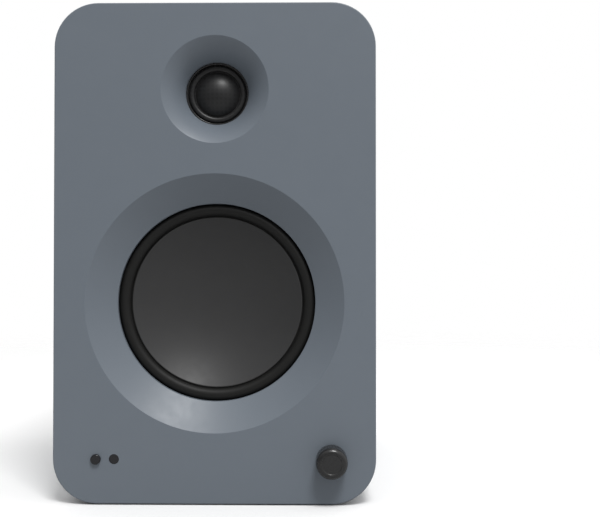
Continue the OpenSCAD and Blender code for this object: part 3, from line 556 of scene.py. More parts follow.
moulded("black_screw", (0.02, 0.02, 0.02), (0.04, 0.04, 0.04), (0.35, 0.5), 1500, 0.00002, 0.8)


def woven(slot, dark, light, rough, threads, depth):
    """A cloth finish: two sets of threads along X and Z, threads to the metre, with a stray tone."""
    made, tree, shader = material(slot)
    place = tree.nodes.new("ShaderNodeTexCoord")
    sets = []
    for way in ("X", "Z"):
        wave = tree.nodes.new("ShaderNodeTexWave")
        wave.bands_direction = way
        wave.inputs["Scale"].default_value = threads / 20
        wave.inputs["Distortion"].default_value = 0.6
        tree.links.new(place.outputs["Object"], wave.inputs["Vector"])
        sets.append(wave.outputs["Fac"])
    cross = tree.nodes.new("ShaderNodeMath")
    cross.operation = "MAXIMUM"
    tree.links.new(sets[0], cross.inputs[0])
    tree.links.new(sets[1], cross.inputs[1])
    tinted(tree, shader, cross.outputs[0], dark, light)
    bumped(tree, shader, cross.outputs[0], 0.35, depth)
    tree.links.new(ranged(tree, noise(tree, 120), *rough), shader.inputs["Roughness"])
    shader.inputs["Specular IOR Level"].default_value = 0.35
    finishes[slot] = made


woven("spider_cloth", (0.36, 0.23, 0.06), (0.58, 0.40, 0.15), (0.7, 0.85), 1600, 0.00008)
tree, shader = moulded("winding", (0.35, 0.11, 0.04), (0.50, 0.18, 0.07), (0.25, 0.35), 1500, 0.00001, 1.0)
turns = tree.nodes.new("ShaderNodeTexWave")
turns.bands_direction = "Y"
turns.inputs["Scale"].default_value = 190
tree.links.new(noise(tree, 1, 0), turns.inputs["Phase Offset"])
coil_place = tree.nodes.new("ShaderNodeTexCoord")
tree.links.new(coil_place.outputs["Object"], turns.inputs["Vector"])
bumped(tree, shader, turns.outputs["Fac"], 0.5, 0.0001)


def hung(piece, body_a, centre):
    """Hangs a round suspension on body_a. Each point is first laid out along a line by its radius from the
    centre, then put back where it was.
    """
    homes = [vertex.co.copy() for vertex in piece.data.vertices]
    for vertex in piece.data.vertices:
        vertex.co = Vector((math.hypot(vertex.co.x - centre.x, vertex.co.z - centre.z), 0, 0))
    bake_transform(piece)
    for vertex, home in zip(piece.data.vertices, homes):
        vertex.co = home
    piece.data.update()
    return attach(piece, body_a)


woofer_seat = Vector((cone_mid.x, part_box("woofer_basket")[0].y, cone_mid.z))
skin = 0.6
lip_r, dish_r, dish_depth, cone_t = 47.4, 46.9, 14, 0.9
lip_front = -1.5
neck_r, coil_r, neck_depth = 14.3, 12.9, 16
ball = (dish_r**2 + dish_depth**2) / (2 * dish_depth)


def dish(radius):
    """Depth of the cone's face at a radius, in millimetres behind the basket's flange."""
    return lip_front + math.sqrt(ball**2 - radius**2) - (ball - dish_depth)


face_radii = [dish_r * i / 72 for i in range(73)]
back_radii = [dish_r - (dish_r - neck_r) * i / 40 for i in range(41)]
hub_radii = [coil_r * (1 - i / 8) for i in range(9)]
cone_profile = [(r, dish(r)) for r in face_radii[:-1]]
cone_profile += [(dish_r, lip_front, 0.25), (lip_r, lip_front, 0.2), (lip_r, lip_front + cone_t, 0.2)]
cone_profile += [(r, dish(r) + cone_t) for r in back_radii]
cone_profile += [(neck_r, neck_depth), (coil_r, neck_depth)]
cone_profile += [(r, dish(r) + cone_t) for r in hub_radii]
cone = turned("dished_cone", eased(in_mm(cone_profile), 4), woofer_seat, 256)
dressed(cone, "cone_composite", ["woofer_cone"], "woofer_diaphragm", sharp=40)

roll_mid, roll_r, flange_r = 51.5, 3.5, 58.7
surround_profile = [(dish_r, 0), (dish_r, -skin)]
surround_profile += arc(roll_mid, -skin, roll_r, 180, 360, 40)
surround_profile += [(flange_r, -skin), (flange_r, 0)] + arc(roll_mid, -skin, roll_r - skin, 360, 180, 30)
surround = turned("rubber_surround", in_mm(surround_profile), woofer_seat, 256)
dressed(surround, "surround_rubber", ["woofer_surround"], body="", sharp=50)
hung(surround, "cabinet", woofer_seat)

spider_depth, spider_r = 21.9, 35
wave_in, wave_out, wave_count, wave_rise = 14.9, 30, 5, 1.1
waves = []
for i in range(91):
    rise = wave_rise * math.sin(math.pi * wave_count * i / 90) ** 2
    waves.append((wave_in + (wave_out - wave_in) * i / 90, spider_depth - rise))
spider_profile = [(coil_r, spider_depth)] + waves
spider_profile += [(spider_r, spider_depth), (spider_r, spider_depth + skin)]
spider_profile += [(r, d + skin) for r, d in reversed(waves)] + [(coil_r, spider_depth + skin)]
spider = turned("cloth_spider", in_mm(spider_profile), woofer_seat, 128)
dressed(spider, "spider_cloth", ["woofer_spider"], body="", sharp=50)
hung(spider, "cabinet", woofer_seat)


# ------------------------------------------------------------------ driver screws
# Pan-head screws with a cross recess, driven from inside through the basket's flange and the
# tweeter's ring, and from behind through the amplifier's plate. One is made and set at every hole.
def geometry_tree(name, sizes):
    """An empty Geometry Nodes tree with a named input for each size; a whole number is a count."""
    tree = bpy.data.node_groups.new(name, "GeometryNodeTree")
    tree.interface.new_socket("Geometry", in_out="INPUT", socket_type="NodeSocketGeometry")
    for size, value in sizes.items():
        kind = "NodeSocketInt" if isinstance(value, int) else "NodeSocketFloat"
        tree.interface.new_socket(size, in_out="INPUT", socket_type=kind)
    tree.interface.new_socket("Geometry", in_out="OUTPUT", socket_type="NodeSocketGeometry")
    return tree, tree.nodes.new("NodeGroupInput"), tree.nodes.new("NodeGroupOutput")


def step(tree, kind, wires, **settings):
    """Adds a node; wires holds a number, a material or another node's socket for each input."""
    made = tree.nodes.new(kind)
    for name, value in settings.items():
        setattr(made, name, value)
    for name, value in wires.items():
        for one in value if isinstance(value, list) else [value]:
            if isinstance(one, bpy.types.NodeSocket):
                tree.links.new(one, made.inputs[name])
            else:
                made.inputs[name].default_value = one
    return made


def run_through(piece, tree, sizes):
    """Runs a piece through a tree with its sizes set, and keeps the resulting mesh."""
    grow = piece.modifiers.new("grow", "NODES")
    grow.node_group = tree
    for item in tree.interface.items_tree:
        if item.name in sizes and item.in_out == "INPUT":
            grow[item.identifier] = sizes[item.name]
    return bake(piece)


def upright(tree, geometry, place, turn=(0, 0, 0)):
    """Moves a geometry by a combined vector and turns it."""
    return step(tree, "GeometryNodeTransform", {"Geometry": geometry, "Translation": place,
                                                "Rotation": turn}).outputs["Geometry"]


def height(tree, value, factor):
    """A vector that lifts by a size times a factor."""
    lift = step(tree, "ShaderNodeMath", {0: value, 1: factor}, operation="MULTIPLY")
    return step(tree, "ShaderNodeCombineXYZ", {"Z": lift.outputs[0]}).outputs[0]


SCREW = {"Head Radius": 0.0, "Head Height": 0.0, "Shank Radius": 0.0, "Shank Length": 0.0}
screw_tree, size, result = geometry_tree("pan_head_screws", SCREW)
head_r, head_t = size.outputs["Head Radius"], size.outputs["Head Height"]
bite = size.outputs["Shank Length"]
crown_share, blade_span, blade_width = 0.74, 1.1, 0.24
narrow = step(screw_tree, "ShaderNodeMath", {0: head_r, 1: crown_share}, operation="MULTIPLY").outputs[0]
half_t = step(screw_tree, "ShaderNodeMath", {0: head_t, 1: 0.5}, operation="MULTIPLY").outputs[0]
disc = step(screw_tree, "GeometryNodeMeshCylinder", {"Vertices": 32, "Radius": head_r, "Depth": half_t})
crown = step(screw_tree, "GeometryNodeMeshCone", {
    "Vertices": 32, "Radius Bottom": head_r, "Radius Top": narrow, "Depth": half_t})
shank = step(screw_tree, "GeometryNodeMeshCylinder", {
    "Vertices": 20, "Radius": size.outputs["Shank Radius"], "Depth": bite})
solid = step(screw_tree, "GeometryNodeMeshBoolean", {"Mesh 2": [
    upright(screw_tree, disc.outputs["Mesh"], height(screw_tree, head_t, 0.25)),
    upright(screw_tree, crown.outputs["Mesh"], height(screw_tree, head_t, 0.4999)),
    upright(screw_tree, shank.outputs["Mesh"], height(screw_tree, bite, -0.499)),
]}, operation="UNION")
blade_long = step(screw_tree, "ShaderNodeMath", {0: head_r, 1: blade_span}, operation="MULTIPLY").outputs[0]
blade_wide = step(screw_tree, "ShaderNodeMath", {0: head_r, 1: blade_width}, operation="MULTIPLY").outputs[0]
blades = []
for long_way, wide_way in (("X", "Y"), ("Y", "X")):
    blade_size = step(screw_tree, "ShaderNodeCombineXYZ", {
        long_way: blade_long, wide_way: blade_wide, "Z": head_t})
    blade = step(screw_tree, "GeometryNodeMeshCube", {"Size": blade_size.outputs[0]})
    blades.append(upright(screw_tree, blade.outputs["Mesh"], height(screw_tree, head_t, 1.05)))
crossed = step(screw_tree, "GeometryNodeMeshBoolean", {
    "Mesh 1": solid.outputs["Mesh"], "Mesh 2": blades}, operation="DIFFERENCE")
aimed = upright(screw_tree, crossed.outputs["Mesh"], (0, 0, 0), (-math.pi / 2, 0, 0))
placed = step(screw_tree, "GeometryNodeInstanceOnPoints", {
    "Points": size.outputs["Geometry"], "Instance": aimed})
real = step(screw_tree, "GeometryNodeRealizeInstances", {"Geometry": placed.outputs["Instances"]})
coated = step(screw_tree, "GeometryNodeSetMaterial", {
    "Geometry": real.outputs["Geometry"], "Material": finishes["black_screw"]})
screw_tree.links.new(coated.outputs["Geometry"], result.inputs["Geometry"])


def screws(name, holes, seat_y, sizes, node):
    """Sets a screw at every hole, with the underside of its head at depth seat_y."""
    spots = mesh_object(name, [(x, seat_y, z) for x, z in holes], [])
    run_through(spots, screw_tree, dict(zip(SCREW, [v * MM for v in sizes])))
    return dressed(spots, "black_screw", [node])


def ring_of(count, radius, start, centre):
    """Places on a circle, as (x, z), from a starting angle in degrees."""
    angles = [math.radians(start + 360 * i / count) for i in range(count)]
    return [(centre.x + radius * math.cos(a), centre.z - radius * math.sin(a)) for a in angles]


basket_holes, basket_t = ring_of(6, 62 * MM, 30, woofer_seat), 3.5 * MM
screws("basket_screws", basket_holes, woofer_seat.y + basket_t, (3.2, 2.2, 1.6, 10.5), "woofer_screws")


# ------------------------------------------------------------------ tweeter
# A coated silk dome pressed with its own half-round roll, glued under a thin black ring
# behind the waveguide's throat.
woven("dome_silk", (0.013, 0.013, 0.0135), (0.019, 0.019, 0.0195), (0.36, 0.44), 2600, 0.000012)
moulded("black_plastic", (0.013, 0.013, 0.0135), (0.016, 0.016, 0.0165), (0.23, 0.30), 2600, 0.000015)
ring_low, ring_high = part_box("tweeter_faceplate")
tweeter_seat = Vector((dome_mid.x, ring_low.y, dome_mid.z))
dome_r, dome_h, dome_base = 12.4, 5.4, 2.0
dome_ball = (dome_r**2 + dome_h**2) / (2 * dome_h)


def crown_of(radius, ball_r):
    """Depth of the dome's face or back at a radius, in millimetres behind its ring's front."""
    return dome_base - dome_h + dome_ball - math.sqrt(ball_r**2 - radius**2)


outer_radii = [dome_r * i / 48 for i in range(49)]
inner_r = dome_r - skin
inner_radii = [inner_r * (1 - i / 32) for i in range(1, 33)]
dome_profile = [(r, crown_of(r, dome_ball)) for r in outer_radii]
dome_profile += [(dome_r, dome_base + skin), (inner_r, dome_base + skin)]
dome_profile += [(r, crown_of(r, dome_ball - 0.5)) for r in inner_radii]
dome = turned("silk_dome", in_mm(dome_profile), tweeter_seat, 160)
dressed(dome, "dome_silk", ["tweeter_dome"], "tweeter_diaphragm", sharp=40)

roll, silk_out_r, silk_in_r, hem_r = 14.45, 1.75, 1.45, 20.5
hem_back = dome_base + skin
pressed = [(dome_r, hem_back), (dome_r, dome_base)] + arc(roll, dome_base, silk_out_r, 180, 360, 28)
pressed += [(hem_r, dome_base), (hem_r, hem_back), (roll + silk_in_r, hem_back)]
pressed += arc(roll, dome_base, silk_in_r, 360, 180, 20) + [(roll - silk_in_r, hem_back)]
dome_roll = turned("silk_roll", in_mm(pressed), tweeter_seat, 160)
dressed(dome_roll, "dome_silk", ["tweeter_surround"], body="", sharp=50)
hung(dome_roll, "cabinet", tweeter_seat)

ring_in_r, ring_out_r, ring_t = 16.5, 30.5, 2
trim = eased(in_mm([(ring_in_r, 0, 0.4), (ring_out_r, 0, 0.3), (ring_out_r, ring_t), (ring_in_r, ring_t)]))
trim_ring = turned("tweeter_ring", trim, tweeter_seat, 160)
ring_holes = ring_of(3, 26 * MM, 90, tweeter_seat)
worked(trim_ring, [drill(x, z, 1.5 * MM, ring_low.y - over, ring_high.y + over) for x, z in ring_holes])
dressed(trim_ring, "black_plastic", ["tweeter_faceplate"])
screws("ring_screws", ring_holes, ring_high.y, (2.4, 1.6, 1.2, 4.8), "tweeter_screws")


# ------------------------------------------------------------------ front controls
# A moulded push-and-turn knob with a wide rounded shoulder and a slightly dished end. In the
# other corner are a domed infrared lens and a sunken status window, held by their flanges.
knob_axis = Vector((knob_mid.x, front, knob_mid.z))
knob_r = (knob_high.x - knob_low.x) / 2 / MM
shoulder, knob_out, dished, knob_gap = 2.8, 12, 0.3, 1
shaft_r, shaft_seat = 3, 9
knob_profile = [(0, dished - knob_out), (knob_r - shoulder - 0.45, dished - knob_out, 0.2)]
knob_profile += [(knob_r - shoulder - 0.15, -knob_out, 0.1)]
knob_profile += arc(knob_r - shoulder, shoulder - knob_out, shoulder, -90, 0, 20)
knob_profile += [(knob_r, -knob_gap, 0.3), (shaft_r, -knob_gap), (shaft_r, -shaft_seat), (0, -shaft_seat)]
knob = turned("turned_knob", eased(in_mm(knob_profile)), knob_axis, 128)
dressed(knob, "black_plastic", ["volume_knob"], "knob", sharp=40)

tree, shader = moulded("dark_lens", (0.008, 0.008, 0.010), (0.012, 0.012, 0.014), (0.20, 0.28),
                       900, 0.00001, gloss=0.3)
shader.inputs["Coat Weight"].default_value = 0.3
lens_flange_r = (lens_high.x - lens_low.x) / 2 / MM
lens_r, lens_out = lens_flange_r - 0.9, 1.8
flange_front, flange_back = 8, 9
lens_axis = Vector((lens_mid.x, front, lens_mid.z))
behind = [(lens_r, flange_front), (lens_flange_r, flange_front)]
behind += [(lens_flange_r, flange_back), (0, flange_back)]
lens_profile = [(0, -lens_out), (lens_r, -lens_out, 0.55)] + behind
lens = turned("infrared_lens", eased(in_mm(lens_profile)), lens_axis, 64)
dressed(lens, "dark_lens", ["receiver_lens"])
window_profile = [(0, 0.45), (lens_r - 0.4, 0.3, 0.3), (lens_r, 0.3, 0.1)] + behind
window_axis = Vector((window_mid.x, front, window_mid.z))
window = turned("status_light_window", eased(in_mm(window_profile)), window_axis, 64)
dressed(window, "dark_lens", ["status_window"])


# ------------------------------------------------------------------ amplifier plate
# A steel plate with a textured black powder coat, let in flush with the cabinet's back and
# held by eight screws. Thin printed frames group its sockets.
moulded("powder_coat", (0.018, 0.018, 0.019), (0.030, 0.030, 0.031), (0.5, 0.62), 1700, 0.0001)
rca_low, rca_high, rca_mid = box_of("rca_shells")
aux_mid = box_of("aux_jack")[2]
optical_mid = box_of("optical_socket")[2]
_, inlet_high, inlet_mid = box_of("mains_inlet")
_, rocker_high, rocker_mid = box_of("rocker_housing")
post_mid = box_of("post_base")[2]
cap_mids = {colour: box_of(f"post_cap_{colour}")[2] for colour in ("red", "black")}
nut_r = 6.05 * MM
rca_xs = [rca_high.x - nut_r, 28 * MM, rca_low.x + nut_r]
jack_z = rca_mid.z
plate_holes = [
    (plate_mid.x + sx * (plate_w / 2 - 4 * MM), plate_mid.z + sz * (plate_h / 2 - 5 * MM))
    for sx in (-1, 1) for sz in (-1, -1 / 3, 1 / 3, 1)
]
screw_hole_r, phono_hole_r, jack_hole_r, post_hole_r = 1.9, 4.35, 3.2, 5.2
optical_w, inlet_w, inlet_h, switch_w, switch_h = 11, 20.4, 11.6, 12.9, 18.8
round_holes = [(x, z, screw_hole_r) for x, z in plate_holes] + [(x, jack_z, phono_hole_r) for x in rca_xs]
round_holes.append((aux_mid.x, jack_z, jack_hole_r))
round_holes += [(mid.x, mid.z, post_hole_r) for mid in cap_mids.values()]
square_holes = [(optical_mid, optical_w, optical_w), (inlet_mid, inlet_w, inlet_h),
                (rocker_mid, switch_w, switch_h)]
through = (plate_low.y - over, rear + over)
plate_tools = [drill(x, z, r * MM, *through) for x, z, r in round_holes]
plate_tools += [slab("cutter", mid, w * MM + play, h * MM + play, 0.3 * MM, *through)
                for mid, w, h in square_holes]
amp_plate = slab("amplifier_plate", plate_mid, plate_w, plate_h, plate_r, plate_low.y, rear,
                 ease_back=0.3 * MM)
worked(amp_plate, plate_tools)
dressed(amp_plate, "powder_coat", ["amp_plate"])
screws("plate_screws", plate_holes, rear, (3, 1.8, 1.5, 9), "amp_plate_screws")

moulded("printed_ink", (0.55, 0.55, 0.55), (0.62, 0.62, 0.62), (0.6, 0.7), 1500, 0.000005)
ink_t, ink_w = 0.03 * MM, 0.45 * MM
groups = [(18, 58, jack_z, 24), (-24, 15, jack_z, 24), (-56, -36, jack_z, 24), (-28, 28, post_mid.z, 32)]
frames = []
for x0, x1, z, tall in groups:
    frame_loops = []
    for inset, y in ((0, rear), (0, rear + ink_t), (ink_w, rear + ink_t), (ink_w, rear)):
        loop = outline((x1 - x0) * MM - 2 * inset, tall * MM - 2 * inset, 3 * MM - inset, 6)
        frame_loops.append([((x0 + x1) / 2 * MM + x, y, z + lift) for x, lift in loop])
    frames.append(lofted("frame", frame_loops, closed=True))
printed_frames = dressed(gathered("printed_frames", frames), "printed_ink")


# ------------------------------------------------------------------ mains inlet and switch
# A moulded two-pin inlet for a figure-of-eight lead, and an on-off rocker switch that rocks
# on a pin through its housing, with a bar and a ring printed on its two ends.
moulded("bright_pin", (0.58, 0.56, 0.50), (0.72, 0.70, 0.64), (0.2, 0.32), 1500, 0.00001, 1.0)
moulded("white_plastic", (0.70, 0.70, 0.68), (0.80, 0.80, 0.78), (0.4, 0.5), 1800, 0.00001)
pin_x = 4.3
lap = 0.5 * MM
inlet = slab("two_pin_inlet", inlet_mid, 26.4 * MM, 15.6 * MM, 3 * MM, rear, inlet_high.y,
             ease_back=0.6 * MM)
inlet_body = slab("body", inlet_mid, inlet_w * MM, inlet_h * MM, MM, rear - 18 * MM, rear + lap)
worked(inlet, [inlet_body], "UNION")
lobe_r, waist = 4.2, 3.2
half_turn = math.degrees(math.asin(waist / lobe_r))
mouth_line = arc(pin_x, 0, lobe_r, half_turn - 180, 180 - half_turn, 24)
mouth_line += arc(-pin_x, 0, lobe_r, half_turn, 360 - half_turn, 24)
mouth_loops = [[(inlet_mid.x + x * MM, y, inlet_mid.z + z * MM) for x, z in mouth_line]
               for y in (rear - 15 * MM, rear + 3 * MM)]
worked(inlet, [lofted("cutter", mouth_loops)])
dressed(inlet, "black_plastic", ["mains_inlet"])
pin_profile = eased(in_mm([(0, -21), (1.2, -21, 0.2), (1.2, -2.5, 0.6), (0, -2.5)]))
pin_spots = [Vector((inlet_mid.x + side * pin_x * MM, rear, inlet_mid.z)) for side in (-1, 1)]
pins = [turned("pin", pin_profile, spot, 32) for spot in pin_spots]
dressed(gathered("inlet_blades", pins), "bright_pin", ["inlet_pins"])


def across(name, radius, half_length, at):
    """A round pin or a cutter along X, about a point."""
    ends = [(0, -half_length), (radius, -half_length), (radius, half_length), (0, half_length)]
    made = turned(name, in_mm(ends), Vector((0, 0, 0)), 32)
    made.data.transform(Matrix.Translation(at) @ Matrix.Rotation(math.radians(90), 4, "Z"))
    return made


housing = slab("switch_housing", rocker_mid, 16.5 * MM, 22.4 * MM, 1.5 * MM, rear, rocker_high.y,
               ease_back=0.5 * MM)
switch_body = slab("body", rocker_mid, switch_w * MM, switch_h * MM, 0.5 * MM, rear - 15 * MM, rear + lap)
worked(housing, [switch_body], "UNION")
worked(housing, [slab("cutter", rocker_mid, 10.6 * MM, 17 * MM, 0.4 * MM, rear - 6 * MM, rear + 3 * MM)])
pivot = Vector((rocker_mid.x, rear - MM, rocker_mid.z))
worked(housing, [across("cutter", 1.25, 6.25, pivot)])
dressed(housing, "black_plastic", ["rocker_housing"])

tilt = Matrix.Translation(pivot) @ Matrix.Rotation(math.radians(9), 4, "X")
half_h, half_w = 7.5, 4.95
sole, saddle, tip_out = -2.4, 3.2, 4.4
rocker_line = [(-half_h, sole), (half_h, sole), (half_h, tip_out), (0, saddle), (-half_h, tip_out)]
rocker = lofted("rocker", [[(x * MM, d * MM, z * MM) for z, d in rocker_line] for x in (-half_w, half_w)])
soften = rocker.modifiers.new("soften", "BEVEL")
soften.width = 0.35 * MM
soften.segments = 3
bake(rocker)
worked(rocker, [across("axle", 1.2, 6.05, Vector((0, 0, 0)))], "UNION")
rocker.data.transform(tilt)
dressed(rocker, "black_plastic", ["power_rocker"], "rocker")

mark_rise = math.atan2(tip_out - saddle, half_h)
mark_z, mark_depth, mark_low, mark_high = 3.9, 3.82, -0.1, 0.06
bar = [(-0.3, -1.5), (0.3, -1.5), (0.3, 1.5), (-0.3, 1.5)]
ring_line = [(1.1, mark_low), (1.55, mark_low), (1.55, mark_high), (1.1, mark_high)]
on_mark = lofted("mark", [in_mm([(x, y, z) for x, z in bar]) for y in (mark_low, mark_high)])
off_mark = turned("mark", in_mm(ring_line), Vector((0, 0, 0)), 40)
for mark, end in ((on_mark, 1), (off_mark, -1)):
    lie = Matrix.Rotation(-end * mark_rise, 4, "X")
    mark.data.transform(tilt @ Matrix.Translation((0, mark_depth * MM, end * mark_z * MM)) @ lie)
dressed(gathered("switch_marks", [on_mark, off_mark]), "white_plastic", body="rocker")


# ------------------------------------------------------------------ signal sockets
# Gold-plated phono sockets with red, white and violet cores, a stereo jack, and an optical
# input behind a little sprung shutter.
moulded("gold_contact", (0.70, 0.47, 0.14), (0.86, 0.62, 0.24), (0.18, 0.3), 1300, 0.00001, 1.0)
jack_deep, core_r, jack_r, jack_nut_r, nut_t = 15.5, 3.4, 4.15, 6.05, 1.4
shell_profile = eased(in_mm([
    (core_r, -jack_deep), (jack_r, -jack_deep), (jack_r, 0), (jack_nut_r, 0), (jack_nut_r, nut_t, 0.4),
    (jack_r, nut_t, 0.2), (jack_r, 9, 0.25), (core_r, 9, 0.2),
]))
phono_spots = [Vector((x, rear, jack_z)) for x in rca_xs]
phono = [turned("socket", shell_profile, spot, 72) for spot in phono_spots]
dressed(gathered("phono_shells", phono), "gold_contact", ["rca_shells"])

tree, shader = moulded("rca_core", (0.4, 0.4, 0.4), (0.5, 0.5, 0.5), (0.35, 0.45), 1800, 0.00001)
core_place = tree.nodes.new("ShaderNodeTexCoord")
split = tree.nodes.new("ShaderNodeSeparateXYZ")
colours = tree.nodes.new("ShaderNodeValToRGB")
colours.color_ramp.interpolation = "CONSTANT"
colours.color_ramp.elements[0].color = (0.14, 0.03, 0.24, 1)
colours.color_ramp.elements[1].position = 0.5
colours.color_ramp.elements[1].color = (0.72, 0.72, 0.70, 1)
colours.color_ramp.elements.new(0.7).color = (0.55, 0.02, 0.02, 1)
tree.links.new(core_place.outputs["Object"], split.inputs["Vector"])
along = ranged(tree, split.outputs["X"], 0, 1, -48 * MM, 68 * MM)
tree.links.new(along, colours.inputs["Fac"])
tree.links.new(colours.outputs["Color"], shader.inputs["Base Color"])
bore_r, core_out = 1.62, 8.4
core_profile = eased(in_mm([(bore_r, -jack_deep), (core_r, -jack_deep), (core_r, core_out, 0.2),
                            (bore_r, core_out, 0.3)]))
cores = [turned("core", core_profile, spot, 48) for spot in phono_spots]
dressed(gathered("phono_cores", cores), "rca_core", ["rca_cores"])

jack_spot = Vector((aux_mid.x, rear, jack_z))
jack_profile = eased(in_mm([(0, -10), (3, -10), (3, 0), (4.4, 0), (4.4, nut_t, 0.4), (0, nut_t)]))
jack_bore = in_mm([(0, -14), (1.8, -14), (1.8, 1.1), (2.4, 1.7), (0, 1.7)])
jack = turned("stereo_jack", jack_profile, jack_spot, 64)
jack_body = slab("body", jack_spot, 9 * MM, 8 * MM, 0.5 * MM, rear - jack_deep * MM, rear - 2.5 * MM)
worked(jack, [jack_body], "UNION")
worked(jack, [turned("cutter", jack_bore, jack_spot, 48)])
dressed(jack, "black_plastic", ["aux_jack"])

optical_spot = Vector((optical_mid.x, rear, jack_z))
optical = slab("optical_input", optical_spot, 14 * MM, 14 * MM, MM, rear, rear + nut_t * MM,
               ease_back=0.4 * MM)
optical_body = slab("body", optical_spot, optical_w * MM, optical_w * MM, 0.3 * MM,
                    rear - jack_deep * MM, rear + lap)
worked(optical, [optical_body], "UNION")
worked(optical, [slab("cutter", optical_spot, 8.6 * MM, 8.6 * MM, 0.3 * MM, rear - 10 * MM, rear + 3 * MM)])
shutter_low, shutter_high, shutter_mid = box_of("optical_shutter")
hinge = Vector((optical_spot.x, shutter_mid.y, shutter_high.z - 0.6 * MM))
worked(optical, [across("cutter", 0.65, 5.25, hinge)])
dressed(optical, "black_plastic", ["optical_socket"])

leaf_h = hinge.z - shutter_low.z
leaf_mid = Vector((hinge.x, 0, hinge.z - leaf_h / 2))
leaf_half_t, leaf_ease = 0.4 * MM, 0.1 * MM
leaf = slab("shutter_leaf", leaf_mid, 8 * MM, leaf_h, 0.3 * MM, hinge.y - leaf_half_t, hinge.y + leaf_half_t,
            leaf_ease, leaf_ease)
worked(leaf, [across("pin", 0.6, 5, hinge)], "UNION")
dressed(leaf, "black_plastic", ["optical_shutter"], "shutter")


# ------------------------------------------------------------------ speaker terminals
# Binding posts for the second speaker: a moulded base, hollow gold studs that take a
# banana plug, and ribbed caps with a threaded gold insert.
moulded("red_plastic", (0.46, 0.012, 0.012), (0.56, 0.02, 0.018), (0.3, 0.4), 1800, 0.00001)
post_spots = [Vector((mid.x, rear, mid.z)) for mid in cap_mids.values()]
stud_r, boss_r, boss_deep = 3, 5, 2.5
boss_profile = in_mm([(0, -boss_deep), (boss_r, -boss_deep), (boss_r, 0.5), (0, 0.5)])
post_base = slab("terminal_base", post_mid, 44 * MM, 22 * MM, 3 * MM, rear, rear + 2.5 * MM,
                 ease_back=0.5 * MM)
worked(post_base, [turned("boss", boss_profile, spot, 64) for spot in post_spots], "UNION")
worked(post_base, [drill(spot.x, spot.z, stud_r * MM, rear - 5 * MM, rear + 5 * MM) for spot in post_spots])
dressed(post_base, "black_plastic", ["post_base"])
stud_back, stud_out, plug_r, plug_seat = -12, 12.9, 2.02, 2
stud_profile = eased(in_mm([(0, stud_back), (stud_r, stud_back), (stud_r, stud_out, 0.3),
                            (plug_r, stud_out, 0.3), (plug_r, plug_seat), (0, plug_seat)]))
studs = [turned("stud", stud_profile, spot, 48) for spot in post_spots]
dressed(gathered("terminal_studs", studs), "gold_contact", ["post_studs"])

RIBS = {"Count": 1, "Ring Radius": 0.0, "Rib Radius": 0.0, "Rib Length": 0.0}
rib_tree, size, result = geometry_tree("cap_ribs", RIBS)
rib_r, rib_long = size.outputs["Rib Radius"], size.outputs["Rib Length"]
ring = step(rib_tree, "GeometryNodeMeshCircle", {
    "Vertices": size.outputs["Count"], "Radius": size.outputs["Ring Radius"]})
rod = step(rib_tree, "GeometryNodeMeshCylinder", {"Vertices": 12, "Radius": rib_r, "Depth": rib_long})
tip = step(rib_tree, "GeometryNodeMeshUVSphere", {"Segments": 12, "Rings": 6, "Radius": rib_r})
tip_up = upright(rib_tree, tip.outputs["Mesh"], height(rib_tree, rib_long, 0.5))
rib = step(rib_tree, "GeometryNodeJoinGeometry", {"Geometry": [rod.outputs["Mesh"], tip_up]})
dotted = step(rib_tree, "GeometryNodeInstanceOnPoints", {
    "Points": ring.outputs["Mesh"], "Instance": rib.outputs["Geometry"]})
ribs = step(rib_tree, "GeometryNodeRealizeInstances", {"Geometry": dotted.outputs["Instances"]})
laid = upright(rib_tree, ribs.outputs["Geometry"], (0, 0, 0), (-math.pi / 2, 0, 0))
ribbed = step(rib_tree, "GeometryNodeJoinGeometry", {"Geometry": [size.outputs["Geometry"], laid]})
finished = step(rib_tree, "GeometryNodeSetMaterial", {
    "Geometry": ribbed.outputs["Geometry"], "Material": finishes["black_plastic"]})
rib_tree.links.new(finished.outputs["Geometry"], result.inputs["Geometry"])

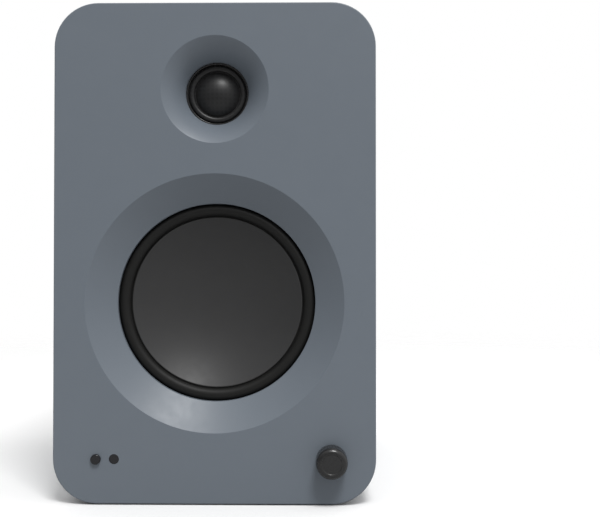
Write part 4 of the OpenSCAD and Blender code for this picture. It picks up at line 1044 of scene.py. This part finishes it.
cap_half, cap_r, insert_r, cap_hole_r, insert_seat = 4.9, 5.8, 4.45, 3.2, 2.95
cap_profile = eased(in_mm([
    (insert_r, -cap_half), (cap_r, -cap_half, 0.3), (cap_r, cap_half, 0.8), (cap_hole_r, cap_half, 0.3),
    (cap_hole_r, insert_seat), (insert_r, insert_seat),
]))
rib_sizes = {"Count": 18, "Ring Radius": cap_r * MM, "Rib Radius": 0.55 * MM, "Rib Length": 7.6 * MM}
for colour, mid in cap_mids.items():
    cap = turned(f"{colour}_cap", cap_profile, Vector((0, 0, 0)), 96)
    run_through(cap, rib_tree, rib_sizes)
    cap.data.transform(Matrix.Translation(mid))
    dressed(cap, f"{colour}_plastic", [f"post_cap_{colour}"], f"{colour}_cap", sharp=40)


# ------------------------------------------------------------------ bass port
# A tube moulded in black plastic with a wide rounded mouth, pressed into the rear panel
# from outside, where its lip lies flush in a shallow recess.
port_r, flare, port_skin, port_lip_r, port_end = 17.5, 12.5, 2.2, 36, -100
port_spot = Vector((port_mid.x, rear, port_mid.z))
port_profile = [(port_r, port_end)] + arc(port_r + flare, -flare, flare, 180, 90, 28)
port_profile += [(port_lip_r, 0, 0.6), (port_lip_r, -port_skin)]
port_profile += arc(port_r + flare, -flare, flare - port_skin, 90, 180, 20)
port_profile.append((port_r + port_skin, port_end))
port = turned("flared_port", eased(in_mm(port_profile)), port_spot, 160)
dressed(port, "black_plastic", ["bass_port"], sharp=40)


# ------------------------------------------------------------------ inside
# The amplifier and supply boards, their sink and standoffs, the motors of the two drivers
# and the leads between them keep the shapes they were drawn with and take their finishes here.
moulded("sink_aluminium", (0.50, 0.50, 0.51), (0.64, 0.64, 0.65), (0.28, 0.42), 1100, 0.00003, 1.0, (8, 8, 1))
moulded("lead_sheath", (0.022, 0.022, 0.022), (0.034, 0.034, 0.034), (0.5, 0.62), 2000, 0.00002)
tree, shader = moulded("circuit_board", (0.012, 0.09, 0.04), (0.02, 0.14, 0.06), (0.3, 0.4), 1500, 0.00002)
tracks = tree.nodes.new("ShaderNodeTexVoronoi")
tracks.feature = "DISTANCE_TO_EDGE"
tracks.inputs["Scale"].default_value = 260
board_place = tree.nodes.new("ShaderNodeTexCoord")
tree.links.new(board_place.outputs["Object"], tracks.inputs["Vector"])
lane = ranged(tree, tracks.outputs["Distance"], 1, 0, 0.03, 0.09)
tinted(tree, shader, lane, (0.012, 0.09, 0.04), (0.05, 0.24, 0.10))
bumped(tree, shader, lane, 0.6, 0.00006)

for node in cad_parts.values():
    for held in node.material_slots:
        held.material = finishes[held.material.name]
